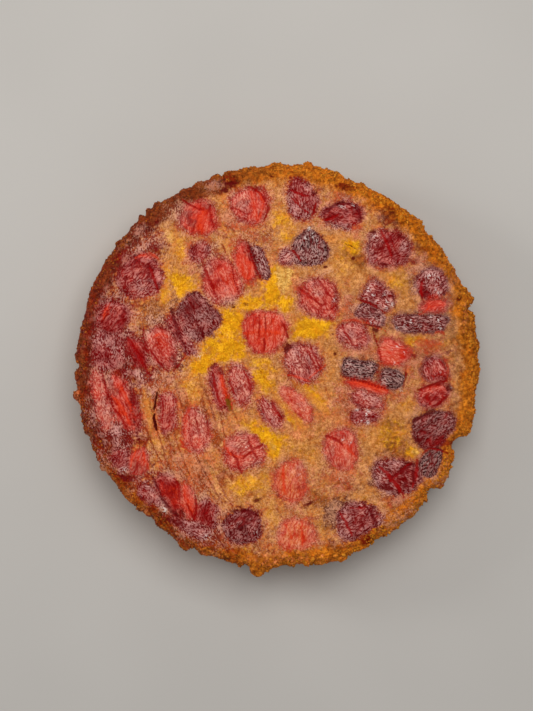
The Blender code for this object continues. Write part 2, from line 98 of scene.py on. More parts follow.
# Patches of colour on the top, by kind. Each is a bell over an ellipse: x, y, its length and width in pixels,
# its strength, and the turn of its length in degrees where that isn't 0
Patch = namedtuple("Patch", "x y long wide strength turn", defaults=(0,))
PATCHES = {
    "gold": (
        (180, 283, 54, 24, 0.8, -38), (164, 294, 12, 26, 0.6), (181, 250, 14, 36, 0.55),
        (230, 322, 34, 34, 1.0), (226, 347, 54, 30, 1.0), (202, 364, 36, 26, 1.0, 30),
        (190, 386, 24, 30, 0.5), (250, 304, 52, 16, 0.8), (272, 285, 18, 54, 1.0), (284, 303, 24, 20, 0.9),
        (311, 328, 46, 26, 1.0), (344, 264, 66, 44, 0.3, 50), (352, 246, 22, 18, 0.7),
        (283, 220, 32, 24, 0.6, -20), (286, 236, 16, 16, 0.6), (265, 436, 54, 20, 0.95, -28),
        (273, 447, 16, 28, 0.8), (262, 376, 24, 50, 0.8, 10), (314, 396, 54, 12, 0.85, -48),
        (293, 416, 38, 10, 0.85, -52), (250, 485, 48, 24, 0.6), (272, 516, 14, 40, 0.4, 10),
        (392, 436, 48, 38, 0.45), (411, 452, 16, 14, 0.7), (396, 284, 32, 28, 0.5), (413, 341, 30, 14, 0.6),
        (405, 403, 28, 18, 0.4), (197, 396, 20, 22, 0.5), (306, 452, 44, 36, 0.3), (322, 526, 12, 26, 0.4),
        (366, 503, 28, 14, 0.5, -20), (158, 440, 16, 40, 0.35, -65), (246, 552, 26, 12, 0.6),
    ),
    "pale": (
        (284, 280, 18, 26, 1.0), (280, 270, 12, 14, 0.7), (170, 236, 28, 12, 0.5, -50), (201, 354, 5, 5, 0.8),
        (272, 446, 7, 14, 0.5), (415, 452, 7, 7, 0.6), (150, 404, 40, 7, 0.45, -78), (446, 343, 6, 9, 0.5),
        (337, 276, 7, 5, 0.4),
    ),
    "peach": (
        (405, 356, 26, 20, 0.7), (300, 431, 36, 24, 0.6), (231, 380, 12, 32, 0.6), (288, 561, 130, 14, 0.5),
        (297, 284, 14, 18, 0.8), (318, 214, 12, 26, 0.5, -20), (303, 231, 26, 7, 0.5, 52),
        (321, 239, 30, 6, 0.7, -62), (272, 258, 12, 30, 0.6), (181, 408, 16, 46, 0.75),
        (134, 317, 20, 28, 0.55), (153, 414, 12, 46, 0.6), (155, 264, 10, 14, 0.5), (276, 403, 12, 14, 0.9),
        (281, 348, 5, 7, 0.9), (345, 472, 32, 18, 0.7), (357, 462, 14, 32, 0.5), (392, 338, 22, 12, 0.6),
        (342, 308, 12, 22, 0.6), (225, 212, 18, 28, 0.6), (188, 496, 46, 10, 0.8, -68),
        (215, 446, 44, 10, 0.5, -72), (229, 475, 22, 12, 0.5), (360, 352, 30, 18, 0.4),
        (355, 236, 18, 12, 0.6), (285, 558, 26, 12, 0.5), (272, 470, 10, 32, 0.4), (316, 476, 8, 40, 0.4),
        (212, 308, 22, 6, 0.6, -48), (405, 368, 14, 16, 0.4), (136, 456, 10, 20, 0.5),
        (330, 415, 60, 34, 0.6, -20), (455, 268, 12, 40, 0.5, 25), (466, 316, 12, 40, 0.5, 5),
        (366, 350, 26, 16, 0.5), (407, 388, 22, 26, 0.5), (208, 396, 26, 34, 0.5), (232, 424, 30, 34, 0.55),
        (214, 462, 34, 16, 0.5, -40), (322, 484, 40, 26, 0.4), (293, 318, 30, 14, 0.4),
        (294, 372, 30, 12, 0.5), (258, 396, 18, 30, 0.5),
    ),
    "brown": (
        (350, 253, 32, 28, 0.55), (322, 500, 60, 20, 0.75), (155, 308, 30, 18, 0.8),
        (400, 504, 50, 18, 0.7, -20), (350, 487, 34, 12, 0.7), (388, 424, 40, 22, 0.6),
        (396, 450, 46, 36, 0.9), (362, 258, 14, 30, 0.9), (390, 322, 14, 20, 0.8),
        (400, 213, 68, 34, 1.0, -40), (424, 252, 40, 22, 0.8, -50), (445, 268, 20, 40, 0.7, 20),
        (458, 330, 18, 80, 0.5), (462, 380, 18, 60, 0.55), (456, 410, 26, 26, 0.6), (128, 308, 26, 18, 0.7),
        (146, 306, 20, 10, 0.7), (212, 385, 24, 22, 0.4), (205, 462, 18, 24, 0.6),
        (165, 455, 24, 40, 0.5, -65), (232, 228, 22, 20, 0.5), (270, 232, 26, 22, 0.6),
        (318, 186, 26, 20, 0.5), (150, 222, 18, 30, 0.7, 40), (185, 194, 34, 12, 0.6, 25),
        (425, 488, 22, 22, 0.7), (330, 548, 40, 16, 0.7, 10), (280, 552, 30, 14, 0.4),
        (300, 450, 40, 26, 0.4), (250, 496, 40, 10, 0.5), (410, 282, 12, 26, 0.5), (240, 550, 50, 12, 0.6),
        (255, 180, 40, 10, 0.5, 5), (100, 275, 20, 44, 0.6, -30), (125, 490, 30, 16, 0.8, -45),
    ),
    "olive": ((228.5, 404, 15, 7, 1.0, -62),),
    # Painted highlights: small near-white spots where the wet fruit would glint, a little raised in the
    # relief
    "highlight_spot": (
        (309, 229, 5, 3, 0.9, 60), (313, 236, 5, 4, 0.9, -60), (306, 238, 4, 4, 0.8),
        (316, 241, 5, 3, 0.7, -40), (369, 289, 5, 4, 0.9, 50), (373, 295, 4, 3, 0.8), (365, 297, 4, 3, 0.6),
        (385, 294, 6, 3, 0.8, 60), (387, 302, 4, 4, 0.9), (386, 308, 3, 5, 0.8), (392, 304, 3, 6, 0.7, 10),
        (377, 301, 4, 3, 0.5), (430, 276, 8, 4, 0.7, 20), (437, 278, 6, 3, 0.6), (436, 289, 6, 3, 0.8, 60),
        (439, 293, 4, 3, 0.8), (405, 325, 4, 6, 0.7), (411, 322, 3, 5, 0.7), (420, 326, 4, 3, 0.5),
        (438, 320, 5, 4, 0.7), (440, 328, 4, 6, 0.7), (431, 316, 5, 3, 0.5), (397, 328, 4, 3, 0.5),
        (371, 322, 4, 3, 0.6), (366, 414, 3, 7, 1.0), (368, 411, 4, 4, 0.9), (362, 421, 8, 3, 0.7, 20),
        (368, 422, 4, 4, 0.7), (357, 410, 4, 3, 0.6), (440, 374, 3, 4, 0.9), (350, 442, 4, 3, 0.7),
        (343, 440, 3, 3, 0.5), (398, 346, 5, 3, 0.6, 20), (392, 349, 3, 3, 0.5), (404, 353, 4, 3, 0.5),
        (441, 343, 4, 5, 0.6), (401, 390, 3, 4, 0.6), (334, 300, 3, 6, 0.6), (299, 476, 4, 3, 0.5),
        (343, 207, 8, 3, 0.5, -10), (354, 206, 6, 3, 0.6, -50), (374, 236, 5, 3, 0.5), (381, 228, 4, 3, 0.4),
        (452, 386, 3, 5, 0.6), (164, 510, 4, 8, 0.7, 20), (123, 470, 5, 5, 0.7), (206, 537, 8, 4, 0.5),
        (256, 533, 4, 8, 0.5, 30), (200, 356, 4, 3, 0.7), (246, 447, 6, 5, 0.4), (339, 479, 5, 3, 0.5),
        (394, 363, 4, 3, 0.5),
    ),
    "pink": (
        (240, 220, 62, 28, 0.9), (264, 200, 22, 52, 0.5), (225, 192, 60, 20, 0.5), (200, 255, 46, 36, 0.9),
        (250, 240, 56, 34, 0.6), (150, 245, 46, 28, 0.8, 40), (305, 205, 54, 54, 0.7),
        (350, 195, 44, 18, 0.9), (355, 228, 24, 18, 0.8), (385, 216, 54, 28, 0.5, -30),
        (420, 266, 34, 34, 0.7), (450, 290, 18, 54, 0.7), (326, 300, 66, 50, 0.6), (352, 310, 44, 32, 0.8),
        (360, 345, 44, 44, 0.8), (395, 358, 70, 50, 0.9), (428, 352, 60, 44, 0.6), (360, 396, 56, 54, 0.9),
        (400, 396, 44, 20, 0.7), (348, 430, 40, 20, 0.6), (340, 475, 44, 44, 0.8), (294, 490, 50, 60, 0.7),
        (297, 536, 62, 54, 0.7), (268, 352, 60, 26, 0.4), (240, 396, 56, 64, 0.4), (300, 404, 64, 60, 0.35),
        (212, 430, 80, 84, 0.4), (178, 404, 60, 70, 0.6), (186, 484, 96, 62, 0.8, -60),
        (235, 530, 84, 60, 0.8), (155, 380, 54, 44, 0.8, -60), (440, 400, 50, 44, 0.5),
        (402, 500, 54, 26, 0.7), (385, 525, 44, 32, 0.8), (392, 538, 36, 24, 0.9, -20),
        (420, 470, 44, 44, 0.9), (465, 375, 20, 70, 0.35),
    ),
    "syrup": (
        (104, 330, 56, 110, 1.0), (112, 425, 60, 120, 1.0, 15), (140, 492, 80, 44, 0.9, -45),
        (186, 526, 84, 44, 1.0, -25), (134, 262, 50, 50, 0.75, 40), (146, 232, 40, 26, 0.6, 45),
        (222, 545, 40, 16, 0.6, -10), (262, 550, 40, 16, 0.35), (340, 545, 50, 16, 0.35, 10),
        (128, 360, 60, 90, 0.9), (217, 184, 30, 14, 0.5), (160, 345, 70, 70, 0.5),
    ),
    "purple": (
        (196, 320, 64, 44, 0.9, -45), (160, 345, 60, 66, 0.6), (254, 246, 24, 20, 0.5),
        (310, 250, 34, 22, 0.5), (422, 321, 60, 22, 0.5), (434, 428, 50, 40, 0.7), (243, 527, 44, 36, 0.7),
        (396, 476, 52, 40, 0.5), (344, 522, 24, 40, 0.7), (205, 520, 36, 30, 0.6),
        (226, 302, 36, 14, 0.7, -10), (332, 512, 26, 20, 0.8), (350, 503, 50, 12, 0.7),
        (416, 428, 18, 34, 0.7), (434, 412, 30, 10, 0.7), (375, 476, 16, 34, 0.7),
        (146, 345, 12, 44, 0.7, 10), (178, 360, 14, 30, 0.8, 20), (206, 280, 10, 36, 0.7, 20),
        (333, 290, 10, 30, 0.5, 20), (428, 268, 34, 14, 0.5), (412, 284, 8, 26, 0.5), (402, 322, 14, 18, 0.4),
        (374, 370, 10, 18, 0.6), (158, 320, 30, 16, 0.6), (157, 247, 32, 32, 0.45), (330, 518, 24, 28, 0.9),
        (346, 505, 44, 16, 0.9), (352, 545, 30, 12, 0.6),
    ),
    "rust": (
        (389, 217, 44, 22, 0.6, -40), (157, 247, 28, 32, 0.6, 20), (93, 298, 20, 34, 1.0, 10),
        (229, 179, 20, 18, 0.9), (346, 187, 30, 7, 0.8), (157, 223, 9, 9, 0.8), (158, 246, 16, 22, 0.4),
        (87, 350, 14, 60, 0.8), (88, 388, 20, 26, 0.8), (105, 445, 16, 40, 0.7, -75),
        (426, 250, 30, 10, 0.5, -35), (434, 268, 14, 10, 0.6), (118, 368, 16, 26, 0.8, -65),
        (140, 304, 24, 12, 0.5), (290, 398, 26, 14, 0.4, -60), (152, 510, 14, 10, 0.7),
        (375, 550, 30, 10, 0.3, 20), (270, 552, 16, 12, 0.5), (100, 362, 18, 8, 0.6, -10),
        (416, 243, 10, 7, 0.6), (92, 318, 12, 24, 0.5),
    ),
    "crimson": (
        (190, 218, 34, 12, 0.95, -65), (207, 206, 16, 11, 0.9), (212, 220, 8, 8, 0.8),
        (238, 204, 9, 6, 0.9, 60), (247, 202, 8, 6, 0.8, 60), (260, 213, 12, 8, 0.9, -60),
        (257, 188, 12, 7, 0.9), (204, 251, 10, 12, 0.8), (198, 247, 9, 7, 0.7), (213, 262, 12, 8, 0.6),
        (251, 257, 26, 8, 1.0, -65), (258, 273, 16, 8, 0.9, -60), (137, 262, 14, 14, 0.9),
        (124, 285, 32, 13, 1.0, -45), (143, 273, 14, 12, 0.7), (122, 258, 18, 18, 0.8),
        (157, 248, 10, 14, 0.9), (295, 186, 14, 18, 0.9), (308, 198, 14, 14, 0.7), (340, 218, 30, 9, 0.9, -5),
        (358, 216, 10, 16, 0.9), (387, 248, 24, 28, 0.7), (400, 238, 14, 10, 0.9), (403, 254, 14, 10, 0.8),
        (415, 262, 12, 6, 1.0), (421, 287, 10, 26, 0.9), (434, 297, 18, 12, 0.8), (377, 292, 24, 16, 0.6),
        (334, 300, 20, 9, 0.8, 60), (308, 306, 18, 14, 0.5), (110, 328, 34, 12, 0.9), (122, 322, 16, 20, 0.9),
        (106, 318, 10, 24, 0.6), (138, 354, 46, 16, 1.0, -60), (105, 352, 14, 14, 0.7),
        (124, 372, 20, 10, 0.8), (113, 388, 26, 8, 0.8, -70), (134, 400, 34, 13, 1.0, -80),
        (137, 425, 30, 9, 0.9, -80), (167, 412, 14, 34, 0.6), (164, 328, 16, 8, 0.7), (132, 440, 16, 20, 0.8),
        (121, 464, 18, 14, 0.9), (137, 467, 10, 12, 0.9), (127, 478, 22, 12, 1.0, -20),
        (148, 500, 20, 16, 0.7), (170, 486, 34, 16, 1.0, -60), (170, 504, 24, 12, 0.8, -50),
        (206, 516, 26, 24, 0.9), (173, 519, 28, 18, 0.9), (220, 546, 34, 10, 0.6, -10),
        (206, 545, 20, 9, 0.7), (220, 372, 10, 8, 1.0), (248, 512, 26, 12, 0.6), (358, 522, 36, 30, 0.7),
        (366, 540, 18, 12, 0.9), (440, 444, 34, 12, 1.0, 5), (409, 475, 20, 22, 0.7),
        (397, 476, 24, 14, 0.6, -30), (378, 376, 8, 18, 1.0), (414, 356, 7, 5, 1.0), (432, 398, 16, 14, 0.7),
        (431, 367, 18, 8, 0.7, -60), (357, 413, 18, 12, 0.7), (355, 333, 16, 9, 0.5, 20),
        (340, 437, 20, 10, 0.6), (278, 495, 6, 5, 0.9), (244, 466, 22, 10, 0.4), (299, 486, 14, 14, 0.5),
        (184, 322, 18, 20, 0.5), (440, 275, 8, 8, 0.8), (300, 378, 26, 6, 0.4, -8), (96, 352, 12, 12, 0.6),
    ),
    "coral": (
        (202, 220, 30, 14, 0.95, 80), (256, 203, 36, 10, 0.8, -82), (243, 265, 56, 16, 0.9, -68),
        (236, 247, 20, 16, 0.5), (228, 280, 36, 14, 0.7, -68), (268, 331, 40, 40, 0.75),
        (163, 343, 36, 14, 0.75, -66), (122, 390, 28, 9, 0.75, -66), (121, 410, 28, 11, 0.7, -66),
        (437, 303, 26, 18, 0.8), (392, 352, 30, 22, 0.8, -20), (390, 362, 26, 10, 0.7, -10),
        (430, 345, 34, 18, 0.8), (440, 370, 24, 18, 0.5), (432, 388, 32, 8, 0.8, 8),
        (366, 385, 40, 9, 0.8, -16), (344, 450, 34, 26, 0.7), (290, 481, 24, 34, 0.3),
        (296, 534, 30, 20, 0.3), (188, 500, 40, 12, 0.6, -68), (186, 442, 30, 12, 0.7, -80),
        (138, 456, 12, 22, 0.5), (225, 390, 36, 8, 0.9, -68), (308, 296, 30, 8, 0.7, -35),
        (147, 256, 22, 8, 0.7, -8), (230, 450, 24, 10, 0.5, -50), (108, 310, 20, 7, 0.7, 60),
        (175, 495, 40, 10, 0.5, -60), (355, 226, 16, 10, 0.6), (365, 320, 40, 6, 0.6, -10),
    ),
    # Mauve: partly the fruit's own colour, partly a painted sheen of reflected light; it also thickens the
    # painted glints
    "mauve": (
        (177, 213, 24, 24, 0.9), (180, 228, 16, 12, 0.6), (155, 241, 14, 16, 0.8), (140, 249, 26, 12, 0.8),
        (243, 204, 16, 22, 0.8), (212, 249, 18, 20, 0.9), (207, 267, 14, 24, 0.8), (262, 238, 36, 18, 0.45),
        (261, 263, 28, 9, 0.9, -70), (290, 257, 26, 20, 0.8), (310, 255, 30, 14, 0.7),
        (300, 211, 32, 14, 0.9, -25), (290, 201, 10, 24, 0.7), (341, 227, 32, 9, 0.8),
        (375, 237, 16, 16, 0.8), (406, 244, 10, 24, 0.8), (371, 252, 14, 24, 0.6), (432, 273, 20, 18, 0.9),
        (414, 283, 8, 26, 0.8), (450, 290, 12, 26, 0.6), (316, 291, 16, 16, 0.7), (325, 273, 20, 10, 0.4),
        (226, 299, 34, 12, 0.8), (151, 319, 24, 12, 0.8), (147, 335, 8, 26, 0.6), (204, 320, 24, 22, 0.4),
        (176, 307, 18, 10, 0.6), (190, 340, 34, 14, 0.7, -70), (178, 362, 14, 24, 0.7),
        (104, 341, 14, 12, 0.9), (115, 349, 8, 17, 0.9), (108, 379, 32, 10, 0.9, -72), (95, 376, 14, 20, 0.7),
        (104, 406, 46, 11, 0.9, -78), (91, 412, 14, 34, 0.6), (115, 432, 26, 24, 0.7),
        (146, 381, 16, 18, 0.8), (200, 424, 36, 18, 0.8, -76), (240, 385, 38, 16, 0.7, -78),
        (216, 384, 30, 8, 0.5, -78), (300, 361, 28, 28, 0.9), (270, 413, 24, 12, 0.7, -58),
        (302, 405, 18, 12, 0.5), (349, 336, 14, 20, 0.6), (352, 308, 18, 12, 0.6), (398, 322, 18, 14, 0.6),
        (372, 399, 26, 12, 0.7, -20), (430, 366, 12, 20, 0.4), (442, 424, 34, 20, 0.3),
        (446, 468, 10, 26, 0.3), (385, 467, 26, 10, 0.6), (377, 477, 12, 26, 0.8), (388, 495, 18, 8, 0.7),
        (344, 526, 14, 32, 0.9), (383, 522, 18, 22, 0.7), (331, 451, 10, 20, 0.6), (241, 445, 20, 20, 0.9),
        (254, 463, 20, 14, 0.6), (299, 474, 18, 24, 0.5), (200, 496, 22, 14, 0.8), (205, 536, 20, 16, 0.9),
        (185, 528, 20, 22, 0.7), (220, 525, 14, 44, 0.6), (152, 494, 30, 14, 0.6, -60),
        (162, 503, 16, 12, 0.9), (122, 471, 14, 9, 0.9), (101, 456, 34, 16, 0.6, -65),
        (118, 291, 10, 26, 0.6), (140, 286, 22, 18, 0.7), (108, 302, 16, 24, 0.4), (170, 474, 20, 12, 0.7),
        (308, 187, 8, 10, 0.6), (245, 190, 16, 8, 0.5), (214, 184, 24, 9, 0.5), (311, 530, 10, 26, 0.5),
        (279, 531, 14, 14, 0.5), (136, 232, 20, 12, 0.5, 40), (446, 488, 24, 40, 0.75, 45),
        (404, 518, 40, 20, 0.7, 40),
    ),
    # Dark spots, sunk in the relief: partly the bake's own dark marks, partly painted shade in small holes
    "dark": (
        (224, 190, 9, 7, 1.0), (231, 184, 13, 6, 0.9), (127, 478, 18, 9, 0.6, -20),
        (325.5, 267, 4, 3, 1.0, 20), (354, 258, 5, 5, 0.8), (287, 347, 11, 10, 0.9, 30),
        (375, 330, 7, 5, 1.0, -40), (309, 504, 12, 6, 0.7, 40), (256, 500, 8, 4, 0.8, 20),
        (459, 299, 6, 5, 0.9, 20), (228, 403, 15, 7, 0.6, -68), (373, 232, 7, 4, 0.9), (401, 237, 10, 6, 0.6),
        (190, 309, 16, 12, 0.7, -30), (174, 362, 8, 22, 0.5, 20), (315, 193, 5, 4, 0.8),
        (449, 388, 8, 10, 0.8, 40), (388, 489, 18, 7, 0.7, -20), (176, 522, 24, 14, 0.6, -10),
        (248, 513, 26, 8, 0.5, -10), (418, 440, 14, 9, 0.6, 30), (372, 540, 10, 8, 0.4),
        (234, 307, 4, 3, 0.9), (246, 304, 7, 4, 0.6), (222, 335, 4, 3, 0.4), (335, 354, 4, 3, 0.8),
        (333, 334, 4, 4, 0.5), (292, 171, 4, 3, 0.7), (272, 176, 6, 3, 0.7), (94, 300, 8, 12, 0.5),
        (84, 392, 9, 9, 0.5), (385, 264, 14, 4, 0.7, -10), (203, 336, 6, 3, 0.7), (240, 507, 10, 5, 0.6),
        (106, 330, 14, 6, 0.5), (157, 222, 5, 4, 0.7),
    ),
}

# Lumps (plus) and notches (minus) of the outline: x and y of the place, its width and its reach in pixels
EDGE = (
    (309, 161, 8, 4.5), (284, 163, 22, 1.5), (291, 168, 4, -2.0), (350, 180, 14, -2.5), (369, 189, 10, -1.5),
    (442, 246, 14, 2.0), (428, 232, 8, -2.0), (418, 219, 12, 1.5), (471, 296, 20, 3.4), (466, 309, 7, -4.5),
    (472, 314, 8, 2.0), (478, 345, 8, 2.0), (479, 368, 16, 1.0), (474, 397, 20, -2.0), (469, 431, 14, 3.0),
    (458, 443, 14, -5.0), (453, 456, 10, 2.0), (438, 486, 10, 2.5), (430, 491, 12, -5.0), (428, 499, 6, 3.0),
    (404, 522, 10, -1.5), (387, 537, 14, 2.0), (364, 548, 12, 2.0), (343, 560, 8, 3.0), (320, 564, 8, 1.5),
    (307, 568, 6, 4.0), (292, 567, 6, 2.5), (283, 566, 8, -1.5), (266, 570, 10, 2.0), (256, 573, 13, 5.0),
    (246, 566, 9, -3.0), (240, 568, 5, 3.0), (226, 562, 10, -1.0), (183, 548, 12, 4.5), (195, 551, 8, -2.5),
    (168, 538, 10, -1.5), (158, 526, 8, 2.0), (147, 514, 8, 2.0), (139, 510, 6, 2.0), (133, 505, 8, -1.5),
    (100, 469, 7, 3.0), (92, 450, 8, 1.0), (84, 431, 8, 2.5), (79, 408, 10, -1.5), (74, 396, 8, 2.5),
    (76, 388, 5, -1.5), (73, 376, 9, 3.0), (78, 366, 6, -3.0), (73, 356, 8, 2.5), (78, 326, 16, -1.5),
    (84, 309, 10, -1.0), (117, 241, 6, 2.0), (127, 232, 8, -2.0), (139, 215, 6, 3.5), (147, 209, 5, 3.0),
    (143, 214, 4, -2.0), (156, 203, 7, 3.0), (176, 195, 14, -2.0), (181, 189, 6, 1.5), (197, 181, 8, 1.5),
    (215, 176, 9, 3.0), (222, 178, 5, -2.0), (230, 171, 10, 1.5), (246, 168, 12, -1.0),
)

# Each plum piece's looks: warmth (0 crimson, 1 coral, 2 orange), shares of dark skin and of sheen (pale
# glints painted into the colour, with a gloss coat that follows them), then the depth of its fibres, their
# turn in degrees and spacing in millimetres, the depth of its folds, and how far it stands proud in
# millimetres
Fruit = namedtuple("Fruit", "warm dark frost fibre turn pitch fold lift")
FRUITS = {
    1: (0.95, 0, 0.2, 0.4, 75, 1.9, 0.35, 0.5), 2: (0.8, 0, 0.42, 0.4, 100, 1.9, 0.35, 0.5),
    3: (0.3, 0, 0.35, 0.25, 60, 1.6, 0.25, 0.3), 4: (0.8, 0, 0.4, 0.45, 112, 2.0, 0.35, 0.6),
    5: (1.0, 0, 0.22, 0.4, 105, 1.8, 0.25, 0.5), 6: (0, 0.65, 0.45, 0.25, 115, 1.5, 0.3, 0.4),
    7: (0.05, 0, 0.35, 0.3, 105, 1.9, 0.5, 0.5), 8: (0.1, 0.14, 0.22, 0.3, 0, 1.9, 0.5, 0.6),
    9: (0, 0.9, 0.42, 0.15, 90, 1.9, 0.5, 0.7), 10: (0.2, 0.2, 0.5, 0.2, 30, 1.6, 0.25, 0.3),
    11: (0.12, 0.05, 0.3, 0.3, 40, 2.0, 0.6, 0.6), 12: (0.7, 0, 0.55, 0.5, -52, 2.1, 0.25, 0.6),
    13: (0.15, 0.15, 0.72, 0.25, -28, 1.8, 0.45, 0.6), 14: (0, 0.55, 0.68, 0.25, -25, 1.8, 0.4, 0.6),
    15: (0.05, 0.32, 0.5, 0.2, 60, 1.8, 0.55, 0.6), 16: (0.85, 0, 0.25, 0.3, 10, 1.6, 0.2, 0.4),
    17: (0, 0.6, 0.45, 0.25, 0, 1.7, 0.4, 0.6), 18: (0.2, 0.05, 0.36, 0.25, 45, 2.0, 0.6, 0.6),
    19: (0.15, 0, 0.24, 0.2, 50, 1.8, 0.45, 0.5), 20: (0, 0.5, 0.2, 0.2, -60, 2.0, 0.55, 0.6),
    21: (0.55, 0, 0.54, 0.45, -62, 1.9, 0.25, 0.6), 22: (0.2, 0.05, 0.4, 0.35, -60, 1.7, 0.35, 0.5),
    23: (0.35, 0, 0.12, 0.35, -60, 1.8, 0.25, 0.5), 24: (0, 0.1, 0.4, 0.2, 90, 1.8, 0.5, 0.5),
    25: (1.1, 0, 0.42, 0.55, 90, 2.2, 0.15, 0.6), 26: (0.4, 0, 0.6, 0.6, -66, 2.2, 0.1, 0.6),
    27: (0.6, 0, 0.7, 0.35, -72, 2.0, 0.2, 0.5), 28: (0.5, 0, 0.25, 0.45, -75, 1.8, 0.2, 0.4),
    29: (0.4, 0, 0.5, 0.25, -55, 1.8, 0.2, 0.4), 30: (1.4, 0.1, 0.5, 0.25, -48, 1.8, 0.2, 0.4),
    31: (0.4, 0, 0.56, 0.35, -30, 1.8, 0.25, 0.5), 32: (1.15, 0.1, 0.44, 0.3, -20, 1.8, 0.3, 0.5),
    33: (0, 1.0, 0.52, 0.1, -10, 1.7, 0.05, 0.7), 34: (0, 1.0, 0.5, 0.1, -14, 1.7, 0.05, 0.7),
    35: (1.2, 0, 0.12, 0.3, -14, 1.6, 0.15, 0.4), 36: (0.4, 0, 0.55, 0.25, -20, 1.7, 0.3, 0.5),
    37: (0.1, 0, 0.4, 0.2, 5, 1.7, 0.35, 0.5), 38: (0.2, 0, 0.38, 0.25, -60, 1.8, 0.4, 0.5),
    39: (0.4, 0, 0.3, 0.3, 20, 1.8, 0.35, 0.5), 40: (0, 0.62, 0.18, 0.2, 30, 2.0, 0.6, 0.7),
    41: (0.05, 1.0, 0.3, 0.2, 60, 1.8, 0.5, 0.5), 42: (0.75, 0.08, 0.3, 0.45, -66, 2.2, 0.3, 0.6),
    43: (0.75, 0, 0.46, 0.25, -76, 1.8, 0.35, 0.5), 44: (0.6, 0, 0.66, 0.2, 88, 1.8, 0.3, 0.5),
    45: (0.85, 0, 0.74, 0.35, -80, 2.0, 0.15, 0.5), 46: (1.2, 0.32, 0.36, 0.35, 60, 1.7, 0.25, 0.5),
    47: (0.1, 0, 0.4, 0.2, 40, 1.7, 0.35, 0.4), 48: (0.85, 0, 0.7, 0.25, 20, 2.0, 0.35, 0.5),
    49: (1.9, 0, 0.35, 0.3, 85, 1.9, 0.25, 0.5), 50: (0, 0.5, 0.28, 0.15, 60, 2.0, 0.65, 0.7),
    51: (0.15, 0.05, 0.28, 0.2, 80, 1.9, 0.45, 0.5), 52: (1.3, 0.2, 0.54, 0.3, 100, 1.9, 0.3, 0.5),
    53: (0, 0.35, 0.44, 0.2, -30, 1.9, 0.6, 0.6), 54: (0.05, 0.3, 0.44, 0.25, 30, 2.0, 0.6, 0.6),
    55: (0.5, 0, 0.08, 0.35, -60, 2.0, 0.3, 0.6), 56: (0.1, 0.05, 0.4, 0.25, -55, 1.8, 0.4, 0.5),
    57: (1.1, 0, 0.35, 0.3, -75, 1.7, 0.2, 0.4), 58: (2.0, 0, 0.42, 0.3, 70, 1.9, 0.3, 0.5),
    59: (0.05, 0.15, 0.4, 0.3, -15, 1.7, 0.4, 0.4),
}

